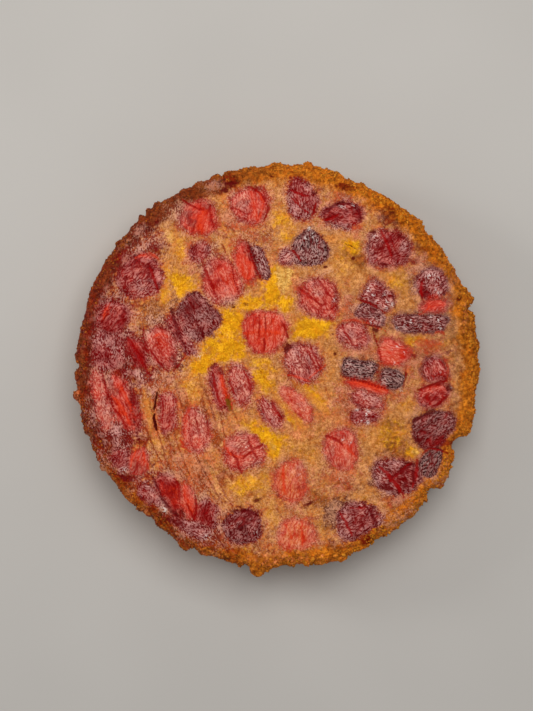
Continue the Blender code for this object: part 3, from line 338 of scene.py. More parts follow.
# Lines on the top, by kind. Each bends from one place through a second to a third, in pixels, and then has
# its width in pixels and its strength
Stroke = namedtuple("Stroke", "start bend end wide strength")
STROKES = {
    # Slits: sunk deep, with dark colour painted in as shade inside them
    "slit": (
        ((157, 392), (155, 402), (154, 411), 2.4, 1.0), ((154.5, 414), (154, 422), (156, 430), 3.4, 1.0),
        ((345, 243), (352, 247), (357, 250), 1.6, 0.7),
    ),
    "ridge": (
        ((294, 381), (308, 396), (328, 413), 10.0, 1.0), ((276, 396), (290, 412), (304, 428), 10.0, 1.0),
        ((143, 386), (147, 405), (151, 430), 7.0, 1.0), ((430, 350), (440, 346), (455, 342), 7.0, 0.5),
        ((206, 430), (212, 450), (222, 470), 6.0, 0.4), ((160, 440), (170, 460), (178, 480), 6.0, 0.4),
    ),
    "streak": (
        ((159, 391), (160, 410), (158, 430), 3.6, 0.8), ((112, 357), (114, 369), (120, 378), 8.0, 0.8),
        ((420, 357), (435, 357), (453, 350), 4.5, 0.8), ((352, 398), (362, 404), (376, 410), 4.0, 0.9),
        ((288, 376), (294, 385), (301, 393), 4.5, 0.8), ((212, 228), (217, 238), (232, 237), 3.0, 0.7),
        ((177, 462), (182, 480), (195, 493), 4.0, 0.7), ((182, 388), (186, 396), (188, 403), 3.0, 0.6),
        ((172, 440), (175, 458), (180, 476), 3.5, 0.6), ((144, 430), (152, 444), (156, 462), 3.0, 0.6),
        ((162, 432), (166, 442), (170, 458), 3.0, 0.6), ((322, 380), (327, 392), (331, 403), 3.0, 0.6),
        ((206, 414), (214, 424), (222, 436), 2.4, 0.5), ((105, 430), (110, 444), (114, 458), 4.0, 0.6),
        ((201, 468), (204, 476), (206, 486), 3.5, 0.6), ((272, 462), (277, 468), (279, 480), 2.4, 0.6),
        ((218, 492), (222, 500), (230, 504), 3.5, 0.6), ((260, 370), (264, 378), (270, 384), 2.4, 0.5),
    ),
    "band": (
        ((222, 376), (224, 391), (232, 408), 5.0, 1.0), ((244, 333), (264, 330), (281, 334), 6.5, 0.9),
        ((342, 321), (358, 317), (385, 331), 4.5, 0.9), ((350, 382), (368, 383), (386, 391), 7.0, 0.8),
        ((257, 190), (269, 206), (256, 223), 3.6, 0.9), ((252, 192), (253, 206), (258, 222), 5.5, 0.8),
        ((203, 212), (200, 222), (202, 233), 8.0, 0.8), ((154, 337), (160, 331), (167, 337), 4.5, 0.9),
        ((112, 396), (122, 404), (130, 425), 5.0, 0.9), ((119, 384), (127, 396), (135, 418), 3.6, 0.8),
        ((190, 408), (182, 418), (186, 440), 4.5, 0.9), ((181, 440), (183, 449), (191, 452), 3.6, 0.8),
        ((284, 467), (282, 480), (286, 494), 5.0, 0.9), ((302, 521), (301, 532), (303, 546), 4.0, 0.9),
        ((285, 524), (290, 533), (294, 541), 3.6, 0.7), ((443, 356), (450, 368), (447, 382), 3.0, 0.8),
        ((436, 333), (440, 331), (444, 334), 5.0, 0.9), ((344, 444), (350, 452), (357, 458), 4.5, 0.8),
        ((225, 440), (222, 447), (232, 455), 5.0, 0.9), ((232, 455), (240, 459), (252, 452), 4.0, 0.9),
        ((138, 446), (133, 456), (130, 468), 3.2, 0.9), ((141, 448), (146, 458), (149, 470), 3.2, 0.9),
        ((110, 303), (106, 310), (103, 319), 3.6, 0.8), ((136, 258), (148, 250), (158, 258), 4.5, 0.8),
        ((326, 365), (318, 370), (310, 378), 3.0, 0.9), ((288, 375), (300, 377), (310, 382), 3.0, 0.9),
        ((240, 262), (246, 272), (250, 286), 4.0, 0.7), ((230, 264), (233, 280), (236, 290), 3.0, 0.6),
        ((430, 304), (428, 310), (420, 315), 3.6, 0.8), ((400, 365), (392, 362), (382, 364), 3.6, 0.7),
        ((383, 345), (390, 352), (395, 360), 3.0, 0.7), ((184, 488), (187, 500), (192, 512), 4.0, 0.6),
    ),
    "crease": (
        ((203, 262), (208, 278), (218, 299), 3.6, 0.9), ((232, 262), (234, 282), (241, 297), 2.6, 0.8),
        ((222, 244), (226, 252), (228, 258), 2.6, 0.8), ((245, 236), (252, 262), (262, 280), 3.0, 0.9),
        ((357, 299), (370, 302), (387, 314), 3.0, 1.0), ((340, 376), (362, 381), (388, 390), 3.2, 1.0),
        ((406, 368), (407, 376), (402, 389), 2.4, 0.8), ((144, 328), (142, 340), (150, 358), 3.0, 0.8),
        ((150, 350), (157, 362), (168, 371), 3.0, 0.9), ((186, 352), (182, 363), (172, 371), 3.0, 0.8),
        ((102, 371), (106, 390), (114, 408), 3.6, 0.9), ((114, 408), (122, 418), (128, 431), 3.0, 0.8),
        ((213, 374), (215, 388), (220, 404), 3.4, 0.9), ((229, 377), (231, 387), (236, 396), 2.4, 0.9),
        ((243, 371), (251, 380), (251, 394), 2.8, 0.9), ((271, 401), (275, 411), (282, 419), 3.6, 0.9),
        ((262, 405), (264, 418), (276, 428), 2.4, 0.7), ((305, 347), (311, 357), (317, 371), 2.0, 0.9),
        ((310, 346), (315, 356), (320, 368), 2.2, 0.9), ((300, 350), (306, 360), (311, 373), 1.8, 0.8),
        ((296, 352), (300, 362), (306, 374), 1.6, 0.6), ((291, 356), (295, 366), (300, 375), 1.6, 0.5),
        ((318, 279), (326, 291), (334, 303), 2.8, 0.9), ((300, 289), (310, 296), (322, 306), 3.4, 0.9),
        ((323, 279), (331, 290), (337, 301), 2.0, 0.7), ((322, 309), (330, 313), (338, 304), 2.2, 0.8),
        ((246, 319), (247, 328), (248, 335), 2.0, 0.6), ((253, 317), (254, 324), (253, 331), 1.8, 0.6),
        ((259, 315), (260, 326), (259, 338), 2.2, 0.8), ((265, 315), (266, 326), (266, 334), 2.2, 0.9),
        ((264, 338), (265, 345), (264, 351), 3.0, 1.0), ((272, 319), (270, 330), (270, 341), 2.0, 0.6),
        ((281, 320), (287, 330), (288, 339), 3.4, 0.7), ((341, 323), (345, 334), (353, 344), 2.4, 0.9),
        ((371, 329), (379, 345), (382, 363), 2.6, 0.8), ((247, 187), (259, 186), (268, 206), 2.8, 0.9),
        ((268, 206), (268, 216), (262, 223), 2.6, 0.9), ((232, 208), (240, 210), (248, 215), 2.4, 0.8),
        ((182, 200), (190, 206), (203, 210), 3.0, 0.9), ((210, 206), (210, 220), (216, 232), 3.0, 0.8),
        ((150, 268), (155, 280), (158, 293), 3.4, 0.9), ((291, 198), (300, 206), (308, 212), 2.4, 0.9),
        ((290, 190), (298, 194), (308, 196), 2.8, 0.9), ((316, 203), (315, 210), (311, 217), 2.8, 0.9),
        ((292, 250), (297, 254), (300, 261), 2.6, 0.9), ((322, 219), (330, 221), (338, 214), 2.8, 0.9),
        ((380, 229), (387, 242), (392, 256), 3.4, 0.9), ((385, 228), (392, 242), (398, 256), 2.0, 0.7),
        ((248, 436), (250, 450), (259, 460), 2.8, 0.9), ((262, 444), (252, 450), (244, 458), 3.2, 0.9),
        ((232, 452), (238, 462), (242, 474), 3.4, 0.9), ((380, 467), (393, 478), (404, 497), 5.5, 0.9),
        ((412, 462), (400, 471), (392, 479), 3.2, 0.9), ((417, 460), (417, 475), (412, 487), 4.4, 0.9),
        ((340, 512), (346, 522), (352, 535), 3.4, 0.9), ((350, 508), (360, 509), (366, 507), 2.8, 0.7),
        ((326, 436), (334, 437), (343, 445), 3.4, 0.9), ((326, 440), (330, 452), (334, 463), 2.0, 0.7),
        ((430, 448), (442, 450), (454, 455), 3.0, 0.9), ((421, 457), (425, 450), (432, 448), 2.4, 0.8),
        ((418, 390), (432, 386), (447, 380), 4.4, 0.9), ((448, 395), (442, 402), (432, 407), 3.6, 0.9),
        ((426, 394), (428, 402), (432, 406), 2.8, 0.7), ((128, 338), (138, 355), (150, 376), 5.0, 0.9),
        ((195, 497), (198, 508), (194, 520), 3.0, 0.9), ((187, 504), (190, 512), (194, 520), 3.0, 0.8),
        ((205, 412), (210, 424), (206, 441), 2.4, 0.8), ((195, 412), (196, 426), (204, 445), 2.4, 0.8),
        ((190, 414), (187, 430), (193, 448), 2.2, 0.7), ((162, 395), (164, 410), (162, 427), 2.8, 0.6),
        ((422, 283), (419, 292), (424, 302), 3.4, 0.8), ((157, 366), (164, 372), (158, 378), 2.4, 0.5),
        ((176, 478), (180, 490), (180, 506), 3.0, 0.7), ((423, 364), (430, 372), (434, 380), 2.2, 0.6),
    ),
    "vein": (
        ((171, 308), (175, 326), (188, 354), 4.4, 1.0), ((324, 214), (333, 202), (352, 204), 5.0, 0.8),
        ((352, 204), (359, 208), (361, 218), 4.0, 0.8), ((196, 322), (200, 330), (205, 337), 2.4, 0.8),
        ((366, 507), (375, 517), (378, 531), 3.4, 0.9), ((414, 421), (424, 416), (434, 410), 5.0, 0.8),
        ((153, 478), (160, 492), (167, 507), 3.0, 0.9), ((131, 388), (132, 410), (138, 440), 4.0, 0.6),
        ((364, 325), (374, 325), (385, 329), 2.6, 0.8), ((392, 478), (402, 470), (413, 464), 3.4, 0.7),
        ((414, 464), (412, 476), (416, 484), 4.4, 0.8), ((248, 242), (252, 252), (256, 262), 3.4, 0.8),
        ((227, 514), (226, 524), (232, 536), 3.6, 0.7), ((232, 512), (244, 508), (258, 516), 4.0, 0.8),
        ((302, 246), (306, 251), (310, 254), 2.0, 0.8), ((320, 246), (322, 250), (324, 252), 2.4, 0.8),
        ((430, 450), (433, 462), (436, 474), 2.6, 0.6), ((160, 496), (168, 508), (178, 516), 5.0, 0.8),
        ((338, 515), (340, 526), (345, 538), 3.0, 0.6), ((395, 309), (394, 300), (392, 293), 2.4, 0.7),
        ((202, 330), (196, 322), (190, 314), 3.0, 0.6), ((360, 300), (362, 310), (368, 322), 2.4, 0.5),
    ),
}

# How far each kind of mark stands proud (plus) or is sunk (minus), in millimetres
RELIEF = {
    "ridge": 0.6, "band": 0.25, "mauve": 0.2, "highlight_spot": 0.2,
    "crease": -0.55, "vein": -0.5, "dark": -0.6, "slit": -1.1, "olive": -0.8, "streak": -0.35,
}

# How thick the sheen, pale glints painted into the colour, lies on bare crumb, what stains add to it, and
# what patches and lines take away
SHEEN_CRUMB = 0.04
SHEEN_STAINS = {"pink": 0.36, "purple": 0.35, "syrup": 0.21}
SHEEN_PATCHES = {"crimson": 0.6, "coral": 0.4, "peach": 0.3, "rust": 0.6, "pale": 1.0}
SHEEN_LINES = {"crease": 1.0, "band": 1.0, "slit": 1.0, "dark": 1.0, "vein": 0.8, "ridge": 0.6}

# The juice's stains round each plum piece: their strength by bare flesh, what the darkest skin adds to that,
# and the width of their fade. Nothing of a piece or its stains reaches farther than STAIN_REACH
STAINS = {"pink": (0.9, -0.6, 4.4 * MM), "purple": (0.35, 0.5, 2.4 * MM)}
STAIN_REACH = 11 * MM

# The noise that bends a patch's sides: its size, its seed, and its share of the patch's own size
PATCH_BENDS = ((5 * MM, 21, 0.2), (1.7 * MM, 25, 0.12))

# Points along a stroke, and round a plum piece's outline
STROKE_STEPS = 17
LOOP_STEPS = 48

# The juice's strands follow arcs about this place in the photograph, and are true to size at this radius
FLOW_CENTRE = (506, 323)
FLOW_RADIUS = 190 * MM

# How much noise is drawn out along fibres and folds, and along the juice's strands, lines and sheen relief
FIBRE_STRETCH = (5, 1)
FOLD_STRETCH = (1.8, 1)
STRAND_STRETCH = (6, 1)
LINE_STRETCH = (7, 1)
SHEEN_RELIEF_STRETCH = (1.4, 1)

# How much the fine colour noise is drawn out along the fibres of a plum piece, and along the juice's strands
FRUIT_FINE_STRETCH = 1.9
FLOW_FINE_STRETCH = 1.4

# The first seed for the paint and for the form of plum pieces, and the run of seeds that each piece has
PAINT_SEEDS = 1000
FORM_SEEDS = 5000
SEEDS_EACH = 20


# Noise

LATTICE = 4096
LATTICE_MIDDLE = 64.5
LATTICE_KEYS = np.array([73856093, 19349663, 83492791])
NOISE_GAIN = 1.55


def smooth_noise(points, size, seed):
    """Gradient noise of about -1 to 1: a cell's corners' random slopes, blended with a quintic fade."""
    axes = points.shape[-1]
    slopes = np.random.default_rng(seed).normal(size=(LATTICE, axes)).astype(np.float32)
    slopes /= np.linalg.norm(slopes, axis=1, keepdims=True)
    scaled = points / size + LATTICE_MIDDLE
    cell = np.floor(scaled)
    inside = (scaled - cell).astype(np.float32)
    fade = inside**3 * (inside * (inside * 6 - 15) + 10)
    keys = cell.astype(np.int64) * LATTICE_KEYS[:axes]
    total = np.zeros(points.shape[:-1], np.float32)
    for corner in product((0, 1), repeat=axes):
        index = np.bitwise_xor.reduce(keys + LATTICE_KEYS[:axes] * corner, axis=-1) % LATTICE
        weight = math.prod(fade[..., n] if one else 1 - fade[..., n] for n, one in enumerate(corner))
        away = inside - np.array(corner, np.float32)
        total += weight * np.einsum("...i,...i->...", away, slopes[index])
    return total * NOISE_GAIN


def layered_noise(points, size, seed, layers=3):
    """Layers of gradient noise, each half the size and strength of the one before."""
    return sum(smooth_noise(points, size / 2**n, seed + n) / 2**n for n in range(layers))


def ridge_noise(points, size, seed, sharpness):
    """Thin connected ridges: 1 along the lines where gradient noise changes sign, falling to 0 off them."""
    return np.clip(1 - np.abs(smooth_noise(points, size, seed)) * sharpness, 0, 1)


def fade_between(low, high, value):
    """0 under low, 1 over high and a smooth S between them."""
    share = np.clip((value - low) / (high - low), 0, 1)
    return share * share * (3 - 2 * share)


def turn_between(bearing, other):
    """The turn from one bearing to another, between minus and plus half a turn."""
    return (other - bearing + math.pi) % (2 * math.pi) - math.pi


def turned(plan, degrees):
    """Plan points in axes turned by an angle: the first runs along that direction, the second across it."""
    turn = math.radians(degrees)
    along = plan[..., 0] * math.cos(turn) + plan[..., 1] * math.sin(turn)
    across = plan[..., 1] * math.cos(turn) - plan[..., 0] * math.sin(turn)
    return np.stack([along, across], axis=-1)


# Grids and meshes


def disc_grid(count):
    """A square grid of count by count points bent onto a disc, as share of the radius and bearing.

    Each square ring becomes a circle: the larger coordinate is the radius, and the ratio of the two
    gives the bearing within that quarter, so cells stay near to square. An even count leaves no
    point on the pole.
    """
    line = np.linspace(-1, 1, count)
    across, up = np.meshgrid(line, line)
    wide = np.abs(across) >= np.abs(up)
    longer = np.where(wide, across, up)
    shorter = np.where(wide, up, across)
    quarter = math.pi / 4 * shorter / longer
    bearing = np.where(wide, quarter, math.pi / 2 - quarter)
    return np.abs(longer), np.where(longer < 0, bearing + math.pi, bearing)


def grid_faces(index, wrapped=False):
    """The cells of a grid of point numbers, anticlockwise for columns to the right and rows upwards."""
    right = np.roll(index, -1, axis=1) if wrapped else index[:, 1:]
    left = index if wrapped else index[:, :-1]
    return np.stack([left[:-1], right[:-1], right[1:], left[1:]], axis=-1).reshape(-1, 4)


def edge_of(index):
    """The point numbers along a grid's edge, anticlockwise from its lower left corner."""
    return np.concatenate([index[0, :-1], index[:-1, -1], index[-1, :0:-1], index[:0:-1, 0]])


def new_piece(name, points, faces, masks, material):
    """A smooth mesh object from arrays, its masks stored as point attributes."""
    mesh = bpy.data.meshes.new(name)
    mesh.from_pydata(np.asarray(points, float).tolist(), [], faces)
    for label, values in masks.items():
        layer = mesh.attributes.new(label, "FLOAT", "POINT")
        layer.data.foreach_set("value", np.asarray(values, np.float32).ravel())
    mesh.materials.append(material)
    mesh.shade_smooth()
    piece = bpy.data.objects.new(name, mesh)
    bpy.context.scene.collection.objects.link(piece)
    return piece


def new_lid(name, index, points, drop, masks, material):
    """A piece from a block of a grid's points, shut underneath.

    The block's edge is carried down by drop, and one face closes the ring below it.
    """
    own = np.arange(index.size).reshape(index.shape)
    surface = points[index.ravel()]
    rim = edge_of(own)
    lower = surface[rim] - [0, 0, drop]
    below = own.size + np.arange(len(rim))
    skirt = np.stack([rim, below, np.roll(below, -1), np.roll(rim, -1)], axis=1)
    faces = grid_faces(own).tolist() + skirt.tolist() + [below[::-1].tolist()]
    kept = {label: values[index.ravel()] for label, values in masks.items()}
    stretched = {label: np.concatenate([values, values[rim]]) for label, values in kept.items()}
    return new_piece(name, np.concatenate([surface, lower]), faces, stretched, material)


def seat(piece, slot_name, *nodes):
    """The piece rides on the cake's one body and hides these solids, which it stands for; slot_name is not
    used.
    """
    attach(piece, "root")
    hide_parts(*nodes)


# The plan of the cake and its plum pieces


def from_photo(x, y):
    """The place on the cake's top, in metres, that a pixel of the photograph shows."""
    return np.array([(x - ORIGIN_X) * PIXEL, (ORIGIN_Y - y) * PIXEL])


def node_points(name):
    """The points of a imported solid, one row each."""
    mesh = frame["nodes"][name].data
    points = np.empty(len(mesh.vertices) * 3, np.float32)
    mesh.vertices.foreach_get("co", points)
    return points.reshape(-1, 3).astype(float)


# Bearings at which the sponge's wall is read, and the width of the bell of bearing that is averaged there
WALL_STEPS = 144
WALL_BELL = math.radians(1.4)


def read_wall_radii():
    """The sponge solid's radius by bearing: its wall points' radii, averaged in narrow bells of bearing."""
    points = node_points("cake")
    height = points[:, 2]
    wall = points[(height > FOOT_UP * 1.1) & (height < TOP - 2 * SHOULDER_DOWN)]
    bearing = np.arctan2(wall[:, 1], wall[:, 0])
    centres = np.linspace(-math.pi, math.pi, WALL_STEPS + 1)[:-1]
    near = np.exp(-((turn_between(centres[:, None], bearing) / WALL_BELL) ** 2))
    return centres, (near * np.hypot(wall[:, 0], wall[:, 1])).sum(axis=1) / near.sum(axis=1)


WALL_BEARINGS, WALL_RADII = read_wall_radii()


def wall_radius(bearing):
    return np.interp(bearing, WALL_BEARINGS, WALL_RADII, period=2 * math.pi)


def edge_swell(bearing):
    """How far the crust reaches past the solid's wall in metres, with the outline's own lumps and notches."""
    reach = np.full(np.shape(bearing), CRUST_OUT)
    around = OUTLINE_CIRCLE * np.stack([np.cos(bearing), np.sin(bearing)], axis=-1)
    reach += 0.5 * MM * layered_noise(around, 9 * MM, seed=35)
    for x, y, wide, out in EDGE:
        east, north = from_photo(x, y)
        apart = np.abs(turn_between(math.atan2(north, east), bearing)) * math.hypot(east, north)
        span = EDGE_SPREAD * wide * PIXEL / 2
        reach += EDGE_SHARE * out * PIXEL * np.exp(-((apart / span) ** 5))
    return reach


def read_plum_loop(name):
    """The plum solid's widest ring, seen from above, in order of bearing round its middle."""
    points = node_points(name)
    height = points[:, 2]
    ring = points[np.abs(height - (TOP - PLUM_EDGE_DROP)) < 0.05 * MM][:, :2]
    ring = np.unique(np.round(ring, 5), axis=0)
    middle = ring.mean(axis=0)
    order = np.argsort(np.arctan2(ring[:, 1] - middle[1], ring[:, 0] - middle[0]))
    return ring[order], middle


def curve_through(loop, share):
    """A closed Catmull-Rom curve through a loop's points, read at shares of the way round."""
    count = len(loop)
    place = (share % 1) * count
    start = np.floor(place).astype(int)
    part = (place - start)[..., None]
    before, here, after, beyond = (loop[(start + step) % count] for step in (-1, 0, 1, 2))
    return 0.5 * (
        2 * here
        + (after - before) * part
        + (2 * before - 5 * here + 4 * after - beyond) * part**2
        + (3 * here - before - 3 * after + beyond) * part**3
    )


def distance_outside(plan, loop):
    """How far plan points lie outside a closed loop: the distance to its nearest side, minus inside it."""
    start, end = loop, np.roll(loop, -1, axis=0)
    side = end - start
    to_point = plan[:, None, :] - start
    along = np.clip((to_point * side).sum(-1) / (side**2).sum(-1), 0, 1)
    nearest = np.linalg.norm(to_point - along[..., None] * side, axis=-1).min(axis=1)
    crosses = (start[:, 1] > plan[:, None, 1]) != (end[:, 1] > plan[:, None, 1])
    rise = np.where(side[:, 1] == 0, 1e-12, side[:, 1])
    reach = start[:, 0] + (plan[:, None, 1] - start[:, 1]) * side[:, 0] / rise
    inside = (crosses & (plan[:, None, 0] < reach)).sum(axis=1) % 2 == 1
    return np.where(inside, -nearest, nearest)


PLUM_LOOPS = {name: read_plum_loop(name) for name in PLUM_NODES}


# Masks and relief that the top and the plum pieces share


def plum_number(name):
    return int(name.rpartition("_")[2])


def looks_of(name):
    return Fruit(*FRUITS[plum_number(name)])


def raise_mask(mask, where, values):
    """Lift a mask to at least these values at some of its points."""
    mask[where] = np.maximum(mask[where], values)


def weighed(masks, weights):
    """The sum of some masks, each times its own weight."""
    return sum(weight * masks[kind] for kind, weight in weights.items())


def patch_masks(plan):
    """Every kind of patch: 1 in its middle, falling to 0 past its sides, which noise of two sizes bends."""
    bend = sum(
        share * np.stack([smooth_noise(plan, size, seed + n) for n in (0, 1)], axis=1)
        for size, seed, share in PATCH_BENDS
    )
    masks = {kind: np.zeros(len(plan)) for kind in PATCHES}
    for kind, rows in PATCHES.items():
        for patch in (Patch(*row) for row in rows):
            away = plan - from_photo(patch.x, patch.y)
            reach = 1.1 * PIXEL * max(patch.long, patch.wide)
            near = np.flatnonzero((away**2).sum(axis=1) < reach**2)
            bent = away[near] + PIXEL * math.sqrt(patch.long * patch.wide) * bend[near]
            across = turned(bent, patch.turn) / (np.array([patch.long, patch.wide]) * PIXEL / 2)
            raise_mask(masks[kind], near, patch.strength * np.exp(-((across**2).sum(axis=1) ** 1.2)))
    return masks


def stroke_masks(plan):
    """Every kind of stroke: 1 along its middle, falling to 0 at its sides and thinning to its ends."""
    shifted = plan + 0.45 * MM * np.stack([layered_noise(plan, 4 * MM, seed) for seed in (41, 45)], axis=1)
    share = np.linspace(0, 1, STROKE_STEPS)[:, None]
    masks = {kind: np.zeros(len(plan)) for kind in STROKES}
    for kind, rows in STROKES.items():
        for stroke in (Stroke(*row) for row in rows):
            start, bend, end = (from_photo(*place) for place in (stroke.start, stroke.bend, stroke.end))
            line = (1 - share) ** 2 * start + 2 * share * (1 - share) * bend + share**2 * end
            reach = np.linalg.norm(start - end) / 2 + (2 + stroke.wide) * PIXEL
            near = np.flatnonzero(((plan - line.mean(axis=0)) ** 2).sum(axis=1) < reach**2)
            if len(near):
                away = np.linalg.norm(shifted[near][:, None] - line, axis=2)
                taper = np.sin(np.pi * (0.12 + 0.76 * share[away.argmin(axis=1), 0])) ** 0.5
                half = stroke.wide * PIXEL / 2 * taper
                raise_mask(masks[kind], near, stroke.strength * np.exp(-((away.min(axis=1) / half) ** 2)))
    return masks


def fibre_axes(plan, looks, seed):
    """Plan points along and across a piece's fibres, whose lines noise bends."""
    bent = plan + 0.9 * MM * np.stack([layered_noise(plan, 6 * MM, seed + n) for n in (3, 7)], axis=1)
    return turned(bent, looks.turn)


def plum_paint(name, plan):
    """One plum piece's looks at plan points: distance outside it, its masks, and its relief in millimetres.

    Cover fades over a ragged band at the outline, wider on pale pieces. Fibres are ridge noise drawn out
    along the piece's turn, folds are broader ridges bent by noise, and grooves are where either is deep.
    """
    looks = looks_of(name)
    seed = PAINT_SEEDS + SEEDS_EACH * plum_number(name)
    loop, _ = PLUM_LOOPS[name]
    away = distance_outside(plan, curve_through(loop, np.arange(LOOP_STEPS) / LOOP_STEPS))
    grown = (1.6 - 0.8 * looks.dark) * MM
    soft = (2.6 - 1.8 * min(looks.dark, 1)) * MM
    ragged = 0.6 * smooth_noise(plan, 1.3 * MM, seed) + 0.7 * smooth_noise(plan, 4 * MM, seed + 1)
    along = fibre_axes(plan, looks, seed)
    fibres = ridge_noise(along / FIBRE_STRETCH, looks.pitch * 1.3 * MM, seed + 11, sharpness=3.4)
    folds = ridge_noise(along / FOLD_STRETCH, 5.5 * MM, seed + 15, sharpness=3)
    groove = np.clip((0.5 + 1.2 * looks.fibre) * fibres + 1.1 * looks.fold * folds, 0, 1)
    patchy = layered_noise(plan, 6 * MM, seed + 18)
    edge = np.exp(-(((away - 0.5 * MM) / (2 * MM)) ** 2))
    masks = {
        "cover": fade_between(soft, -soft, away - grown + 0.8 * soft * ragged),
        "warm": np.clip(looks.warm + 0.3 * patchy - 0.15 * edge, 0, 2),
        "skin": np.clip(looks.dark * 1.1 - 0.25 * patchy, 0, 1),
        "groove": groove,
        "frost": np.clip((looks.frost * (0.9 + 0.9 * patchy) + 0.15 * edge) * (1 - 0.8 * groove), 0, 1),
    }
    return away, masks, -0.5 * looks.fibre * fibres - 0.8 * looks.fold * folds


def fruit_masks(plan):
    """All the fruit at plan points: its masks, its relief in millimetres, and the distance outside it.

    Each piece is laid over those before it by its cover, and leaves a pink and a purple stain round itself.
    """
    kinds = ("cover", "warm", "skin", "groove", "frost", *STAINS)
    masks = {kind: np.zeros(len(plan)) for kind in kinds}
    relief = np.zeros(len(plan))
    outside = np.full(len(plan), STAIN_REACH)
    spread = 1.6 * MM * layered_noise(plan, 4 * MM, seed=11)
    for name, (loop, middle) in PLUM_LOOPS.items():
        reach = np.linalg.norm(loop - middle, axis=1).max() + STAIN_REACH
        close = np.flatnonzero(((plan - middle) ** 2).sum(axis=1) < reach**2)
        if not len(close):
            continue
        away, own, own_relief = plum_paint(name, plan[close])
        cover = own.pop("cover")
        raise_mask(masks["cover"], close, cover)
        for kind, values in own.items():
            masks[kind][close] += (values - masks[kind][close]) * cover
        relief[close] += (own_relief - relief[close]) * cover
        outside[close] = np.minimum(outside[close], away)
        past = np.clip(away + spread[close], 0, None)
        for kind, (by_flesh, by_skin, fade) in STAINS.items():
            strength = by_flesh + by_skin * looks_of(name).dark
            raise_mask(masks[kind], close, strength * np.exp(-((past / fade) ** 1.4)))
    return masks, relief, outside


def paint(points, run):
    """What each piece of the top shares at its points: masks, relief in metres, distance outside the fruit.

    The sponge's own looks come from patches, lines, stains and the distance to the rim. The fruit is laid
    over them by its cover, so that a piece and the sponge round it meet in the same colours and relief.
    """
    plan = points[:, :2]
    masks = patch_masks(plan) | stroke_masks(plan)
    fruit, fruit_relief, outside = fruit_masks(plan)
    for kind in STAINS:
        masks[kind] = np.maximum(masks[kind], fruit.pop(kind)) * (1 - 0.75 * masks["gold"])
    masks |= fruit
    masks["rim"] = fade_between(*RIM_FADE, run + 2.0 * MM * layered_noise(plan, 8 * MM, seed=51))
    west = fade_between(*WEST_FADE, plan[:, 0] + 10 * MM * smooth_noise(plan, 20 * MM, seed=50))
    masks["west"] = west * (1 - 0.55 * fade_between(-30 * MM, -70 * MM, plan[:, 1]))
    masks["frost"] = sheen_over(plan, masks)
    sheen_relief = add_strands(plan, masks)
    relief = sheen_relief + fruit_relief * masks["cover"] + weighed(masks, RELIEF)
    crumb = crumb_relief(points) * (1 - 0.5 * masks["syrup"]) * (1 - masks["cover"])
    return masks, relief * MM + crumb, outside


def add_strands(plan, masks):
    """Draw the juice's strands and lines along its flow into the masks, and give the relief that goes with
    the sheen.

    Both are noise drawn out along the flow: peach strands in the south-west, and streaks there and in syrup.
    """
    flow = flow_axes(plan)
    masks["along"], masks["across"] = flow[:, 0] / FLOW_FINE_STRETCH, flow[:, 1]
    south = fade_between(*SOUTH_FADE, plan[:, 1]) * fade_between(*SOUTH_WEST_FADE, plan[:, 0])
    strands = fade_between(0.1, 0.7, layered_noise(flow / STRAND_STRETCH, 4.5 * MM, seed=61))
    masks["peach"] = np.maximum(masks["peach"], south * strands * (1 - masks["syrup"]))
    lines = ridge_noise(flow / LINE_STRETCH, 5.5 * MM, seed=65, sharpness=3.4) * (1 - masks["cover"])
    lines = lines * np.maximum(south, 0.7 * masks["syrup"])
    masks["streak"] = np.maximum(masks["streak"], lines)
    sheen_relief = ridge_noise(flow / SHEEN_RELIEF_STRETCH, 2.6 * MM, seed=71, sharpness=3)
    return (0.15 - 0.3 * sheen_relief) * masks["frost"]


def flow_axes(plan):
    """Plan points along and across the arcs that the juice's strands follow about FLOW_CENTRE."""
    away = plan - from_photo(*FLOW_CENTRE)
    reach = np.hypot(away[:, 0], away[:, 1])
    return np.stack([np.arctan2(-away[:, 1], -away[:, 0]) * FLOW_RADIUS, reach], axis=1)


def sheen_over(plan, masks):
    """How thick the sheen, painted as pale glints, lies: thin on crumb, thicker on syrup, and by each piece's
    looks on fruit.
    """
    frost = SHEEN_CRUMB + weighed(masks, SHEEN_STAINS)
    frost = frost * (1 - 0.9 * masks["gold"]) * (1 - masks["rim"] * (0.9 - 0.15 * masks["west"]))
    frost = frost * np.clip(1 + 2.2 * masks["syrup"] * layered_noise(plan, 6 * MM, seed=91), 0, None)
    frost = frost + (masks["frost"] - frost) * masks["cover"]
    # Mauve, partly painted sheen, thickens the painted glints
    frost = frost + (1 - frost) * 0.6 * masks["mauve"]
    for kind, share in SHEEN_PATCHES.items():
        frost = frost * (1 - share * masks[kind])
    return np.clip(frost, 0, 1) * (1 - 0.85 * np.clip(weighed(masks, SHEEN_LINES), 0, 1))


# The sponge


def crumb_relief(points):
    """Height of the baked crumb in metres: mounds, grains and open pores, from noise of four sizes."""
    mounds = 0.4 * smooth_noise(points, 8 * MM, seed=31)
    grains = 0.22 * smooth_noise(points, 2.6 * MM, seed=32) + 0.22 * smooth_noise(points, 1.2 * MM, seed=33)
    pores = fade_between(0.4, 0.8, smooth_noise(points, 3.2 * MM, seed=34))
    return (mounds + grains - 0.6 * pores) * MM


def crust_relief(points):
    """Crags of the crust on the shoulder and wall in metres: lumps with creased valleys between them."""
    lumps = 1 - ridge_noise(points, 7 * MM, seed=36, sharpness=2.5)
    small = 1 - ridge_noise(points, 2.8 * MM, seed=37, sharpness=2.5)
    fine = 0.4 * smooth_noise(points, 4 * MM, seed=38) + 0.5 * smooth_noise(points, 1.4 * MM, seed=39)
    return (0.5 * (lumps - 0.7) + 0.5 * (small - 0.7) + fine) * (1 - 0.5 * westward(points)) * MM


def westward(points):
    """0 on the cake's crumbly east, rising to 1 at its syrupy and smoother west."""
    return fade_between(*WEST_FADE, points[..., 0])


